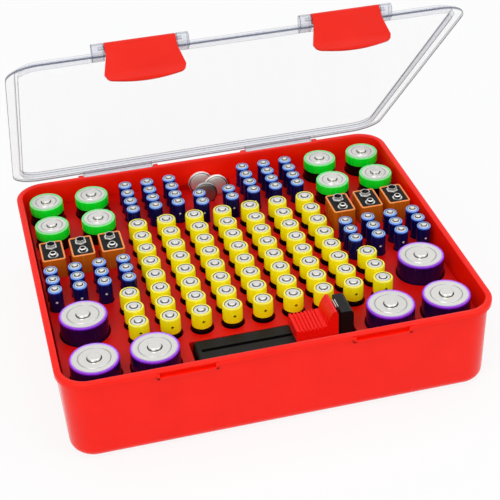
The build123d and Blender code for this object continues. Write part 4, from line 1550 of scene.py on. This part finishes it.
@dataclass
class Studio:
    """Camera at the photograph's place, soft lights, white surround and pale floor."""

    place: Point = (-0.17914, -0.81987, 0.61628)
    yaw: float = 0.225
    pitch: float = -0.585
    roll: float = -0.045
    focal_pixels: float = 1343.6
    frame_pixels: float = 500.0
    sensor_mm: float = 36.0
    view_end: float = 20.0
    boxes: tuple[SoftBox, ...] = (
        SoftBox("key_box", (-0.95, -1.35, 1.5), 1.5, 19.0),
        SoftBox("fill_box", (1.2, -0.9, 1.2), 1.5, 7.5),
        SoftBox("top_box", (0.0, 0.1, 1.9), 2.2, 13.0),
    )
    aim: Point = (0.0, 0.0, 0.05)
    sky: str = "F4F6FA"
    sky_strength: float = 0.43
    paper: str = "F4F4F4"
    paper_share: float = 0.16
    paper_reach: float = 1.6
    floor_size: float = 6.0
    floor_level: float = -0.0005

    def camera(self) -> None:
        """Adds the camera."""
        ahead = Vector((sin(self.yaw) * cos(self.pitch), cos(self.yaw) * cos(self.pitch), sin(self.pitch)))
        right = Vector((cos(self.yaw), -sin(self.yaw), 0))
        up = right.cross(ahead)
        side = right * cos(self.roll) + up * sin(self.roll)
        top = up * cos(self.roll) - right * sin(self.roll)
        data = bpy.data.cameras.new("photo_camera")
        data.sensor_width = self.sensor_mm
        data.lens = self.sensor_mm * self.focal_pixels / self.frame_pixels
        data.clip_end = self.view_end
        camera = bpy.data.objects.new("photo_camera", data)
        bpy.context.scene.collection.objects.link(camera)
        turn = Matrix((side, top, -ahead)).transposed()
        camera.matrix_world = Matrix.Translation(self.place) @ turn.to_4x4()
        bpy.context.scene.camera = camera

    def lights(self) -> None:
        """Adds the soft boxes, turned towards the case."""
        for box in self.boxes:
            data = bpy.data.lights.new(box.name, "AREA")
            data.size = box.size
            data.energy = box.power
            light = bpy.data.objects.new(box.name, data)
            bpy.context.scene.collection.objects.link(light)
            aim = Vector(self.aim) - Vector(box.place)
            turn = aim.to_track_quat("-Z", "Y").to_matrix().to_4x4()
            light.matrix_world = Matrix.Translation(box.place) @ turn

    def watched(self, tree: NodeTree) -> NodeSocket:
        """Adds a switch that is 1 for rays of the camera, of gloss and of clear pieces.

        Args:
            tree: The tree that gets the nodes.

        Returns:
            The switch's output.
        """
        rays = add_node(tree, "ShaderNodeLightPath").outputs
        seen = {0: rays["Is Camera Ray"], 1: rays["Is Transmission Ray"]}
        clear = add_node(tree, "ShaderNodeMath", seen, operation="MAXIMUM")
        shown = {0: clear.outputs[0], 1: rays["Is Glossy Ray"]}
        return add_node(tree, "ShaderNodeMath", shown, operation="MAXIMUM").outputs[0]

    def surround(self) -> None:
        """Makes the world white to the eye and a soft grey light to the object."""
        world = bpy.data.worlds.new("white_surround")
        bpy.context.scene.world = world
        world.use_nodes = True
        tree = world.node_tree
        tree.nodes.clear()
        sky = {"Color": linear(self.sky), "Strength": self.sky_strength}
        light = add_node(tree, "ShaderNodeBackground", sky)
        white = add_node(tree, "ShaderNodeBackground", {"Color": linear("FFFFFF"), "Strength": 1.0})
        parts = {0: self.watched(tree), 1: light.outputs[0], 2: white.outputs[0]}
        mix = add_node(tree, "ShaderNodeMixShader", parts)
        add_node(tree, "ShaderNodeOutputWorld", {"Surface": mix.outputs[0]})

    def paper_material(self) -> Material:
        """Makes the paper of the floor, which keeps a faint shadow and fades to white far out.

        Returns:
            The material.
        """
        material, tree = blank_material("white_paper_floor")
        paper = add_node(tree, "ShaderNodeBsdfDiffuse", {"Color": linear(self.paper)})
        glow = add_node(tree, "ShaderNodeEmission", {"Color": linear("FFFFFF"), "Strength": 1.0})
        place = add_node(tree, "ShaderNodeTexCoord").outputs["Object"]
        fade = {"Vector": place, "Scale": (1 / self.paper_reach,) * 3}
        spread = add_node(tree, "ShaderNodeMapping", fade).outputs[0]
        near = add_node(tree, "ShaderNodeTexGradient", {"Vector": spread}, gradient_type="SPHERICAL")
        limits = {3: 1.0, 4: 1 - self.paper_share}
        bright = add_node(tree, "ShaderNodeMapRange", {0: near.outputs["Fac"], **limits})
        lit = {0: self.watched(tree), 1: bright.outputs[0]}
        share = add_node(tree, "ShaderNodeMath", lit, operation="MULTIPLY")
        parts = {0: share.outputs[0], 1: paper.outputs[0], 2: glow.outputs[0]}
        mix = add_node(tree, "ShaderNodeMixShader", parts)
        add_node(tree, "ShaderNodeOutputMaterial", {"Surface": mix.outputs[0]})
        return material

    def floor(self) -> None:
        """Adds the pale floor."""
        clear_selection()
        bpy.ops.mesh.primitive_plane_add(size=self.floor_size, location=(0, 0, self.floor_level))
        floor = bpy.context.object
        settle(floor)
        floor.name = "studio_floor"
        floor.data.materials.append(self.paper_material())

    def build(self) -> None:
        """Sets up the whole studio."""
        self.camera()
        self.lights()
        self.surround()
        self.floor()
        bpy.context.scene.view_settings.view_transform = "Standard"


# The pieces in the order in which they are built

PIECES = [
    RoundCells(
        "aa_cells_round", "aa_cells", "aa_sleeve", "aa_cells", sides=18, places=AA_PLACES,
        radius=7.25, low=15.7, top=65.0, band=12.2, rim=1.6, nub=2.5, nub_top=66.0,
        body_film=Finish.BLACK, band_film=Finish.YELLOW, rim_painted_highlight=Finish.YELLOW_PAINTED_HIGHLIGHT,
        seal_width=0.5, mark=Finish.BLACK,
    ),
    RoundCells(
        "aaa_cells_round", "aaa_cells", "aaa_sleeve", "aaa_cells", sides=16, places=AAA_PLACES,
        radius=5.25, low=23.1, top=66.6, band=2.0, rim=1.25, nub=1.8, nub_top=67.4,
        body_film=Finish.NAVY, band_film=Finish.BLUE, rim_painted_highlight=Finish.BLUE_PAINTED_HIGHLIGHT,
        seal_width=0.45, mark=Finish.WHITE_INK, mark_drop=9.0, mark_half=0.9, mark_arm=0.25,
    ),
    RoundCells(
        "c_cells_round", "c_cells", "c_sleeve", "c_cells", sides=32, places=C_PLACES,
        radius=13.1, low=17.7, top=66.0, band=8.0, rim=1.2, nub=3.4, nub_top=67.5,
        body_film=Finish.BLACK, band_film=Finish.GREEN, rim_painted_highlight=Finish.GREEN_PAINTED_HIGHLIGHT,
        seal_or_painted_highlight=Finish.GREEN_PAINTED_HIGHLIGHT, grooves=(8.1,),
    ),
    RoundCells(
        "d_cells_round", "d_cells", "d_sleeve", "d_cells", sides=40, places=D_PLACES,
        radius=17.1, low=4.9, top=64.7, band=1.9, rim=1.2, nub=4.6, nub_top=66.2,
        body_film=Finish.PLUM, band_film=Finish.PURPLE, rim_painted_highlight=Finish.PURPLE_PAINTED_HIGHLIGHT,
        seal_or_painted_highlight=Finish.PURPLE_PAINTED_GLINT, grooves=(11.2,),
    ),
    BlockCells("block_cells_detailed", "block_cells", "block_sleeve", "block_cells"),
    CoinCells("coin_cells_detailed", "coin_cells", "coin_steel", "coin_cells"),
    CaseBase("case_base", "case", "red_plastic", "base_shell"),
    DeckPlate("tray_deck_plate", "case", "red_plastic", None),
    Lid("lid_clear", "lid", "clear_plastic", "lid"),
    Latch("latch_left_moulded", "latch_left", "red_plastic", "latch_left", middle=-LATCH_X),
    Latch("latch_right_moulded", "latch_right", "red_plastic", "latch_right", middle=LATCH_X),
    DialPrint("tester_dial_print", "tester", "dial_card", None),
]


def main() -> None:
    """Dresses the solids, builds every piece and sets up the studio."""
    logging.basicConfig(level=logging.INFO, format="%(name)s: %(message)s")
    dress_solids()
    for piece in PIECES:
        piece.build()
    Studio().build()


if __name__ == "__main__":
    main()
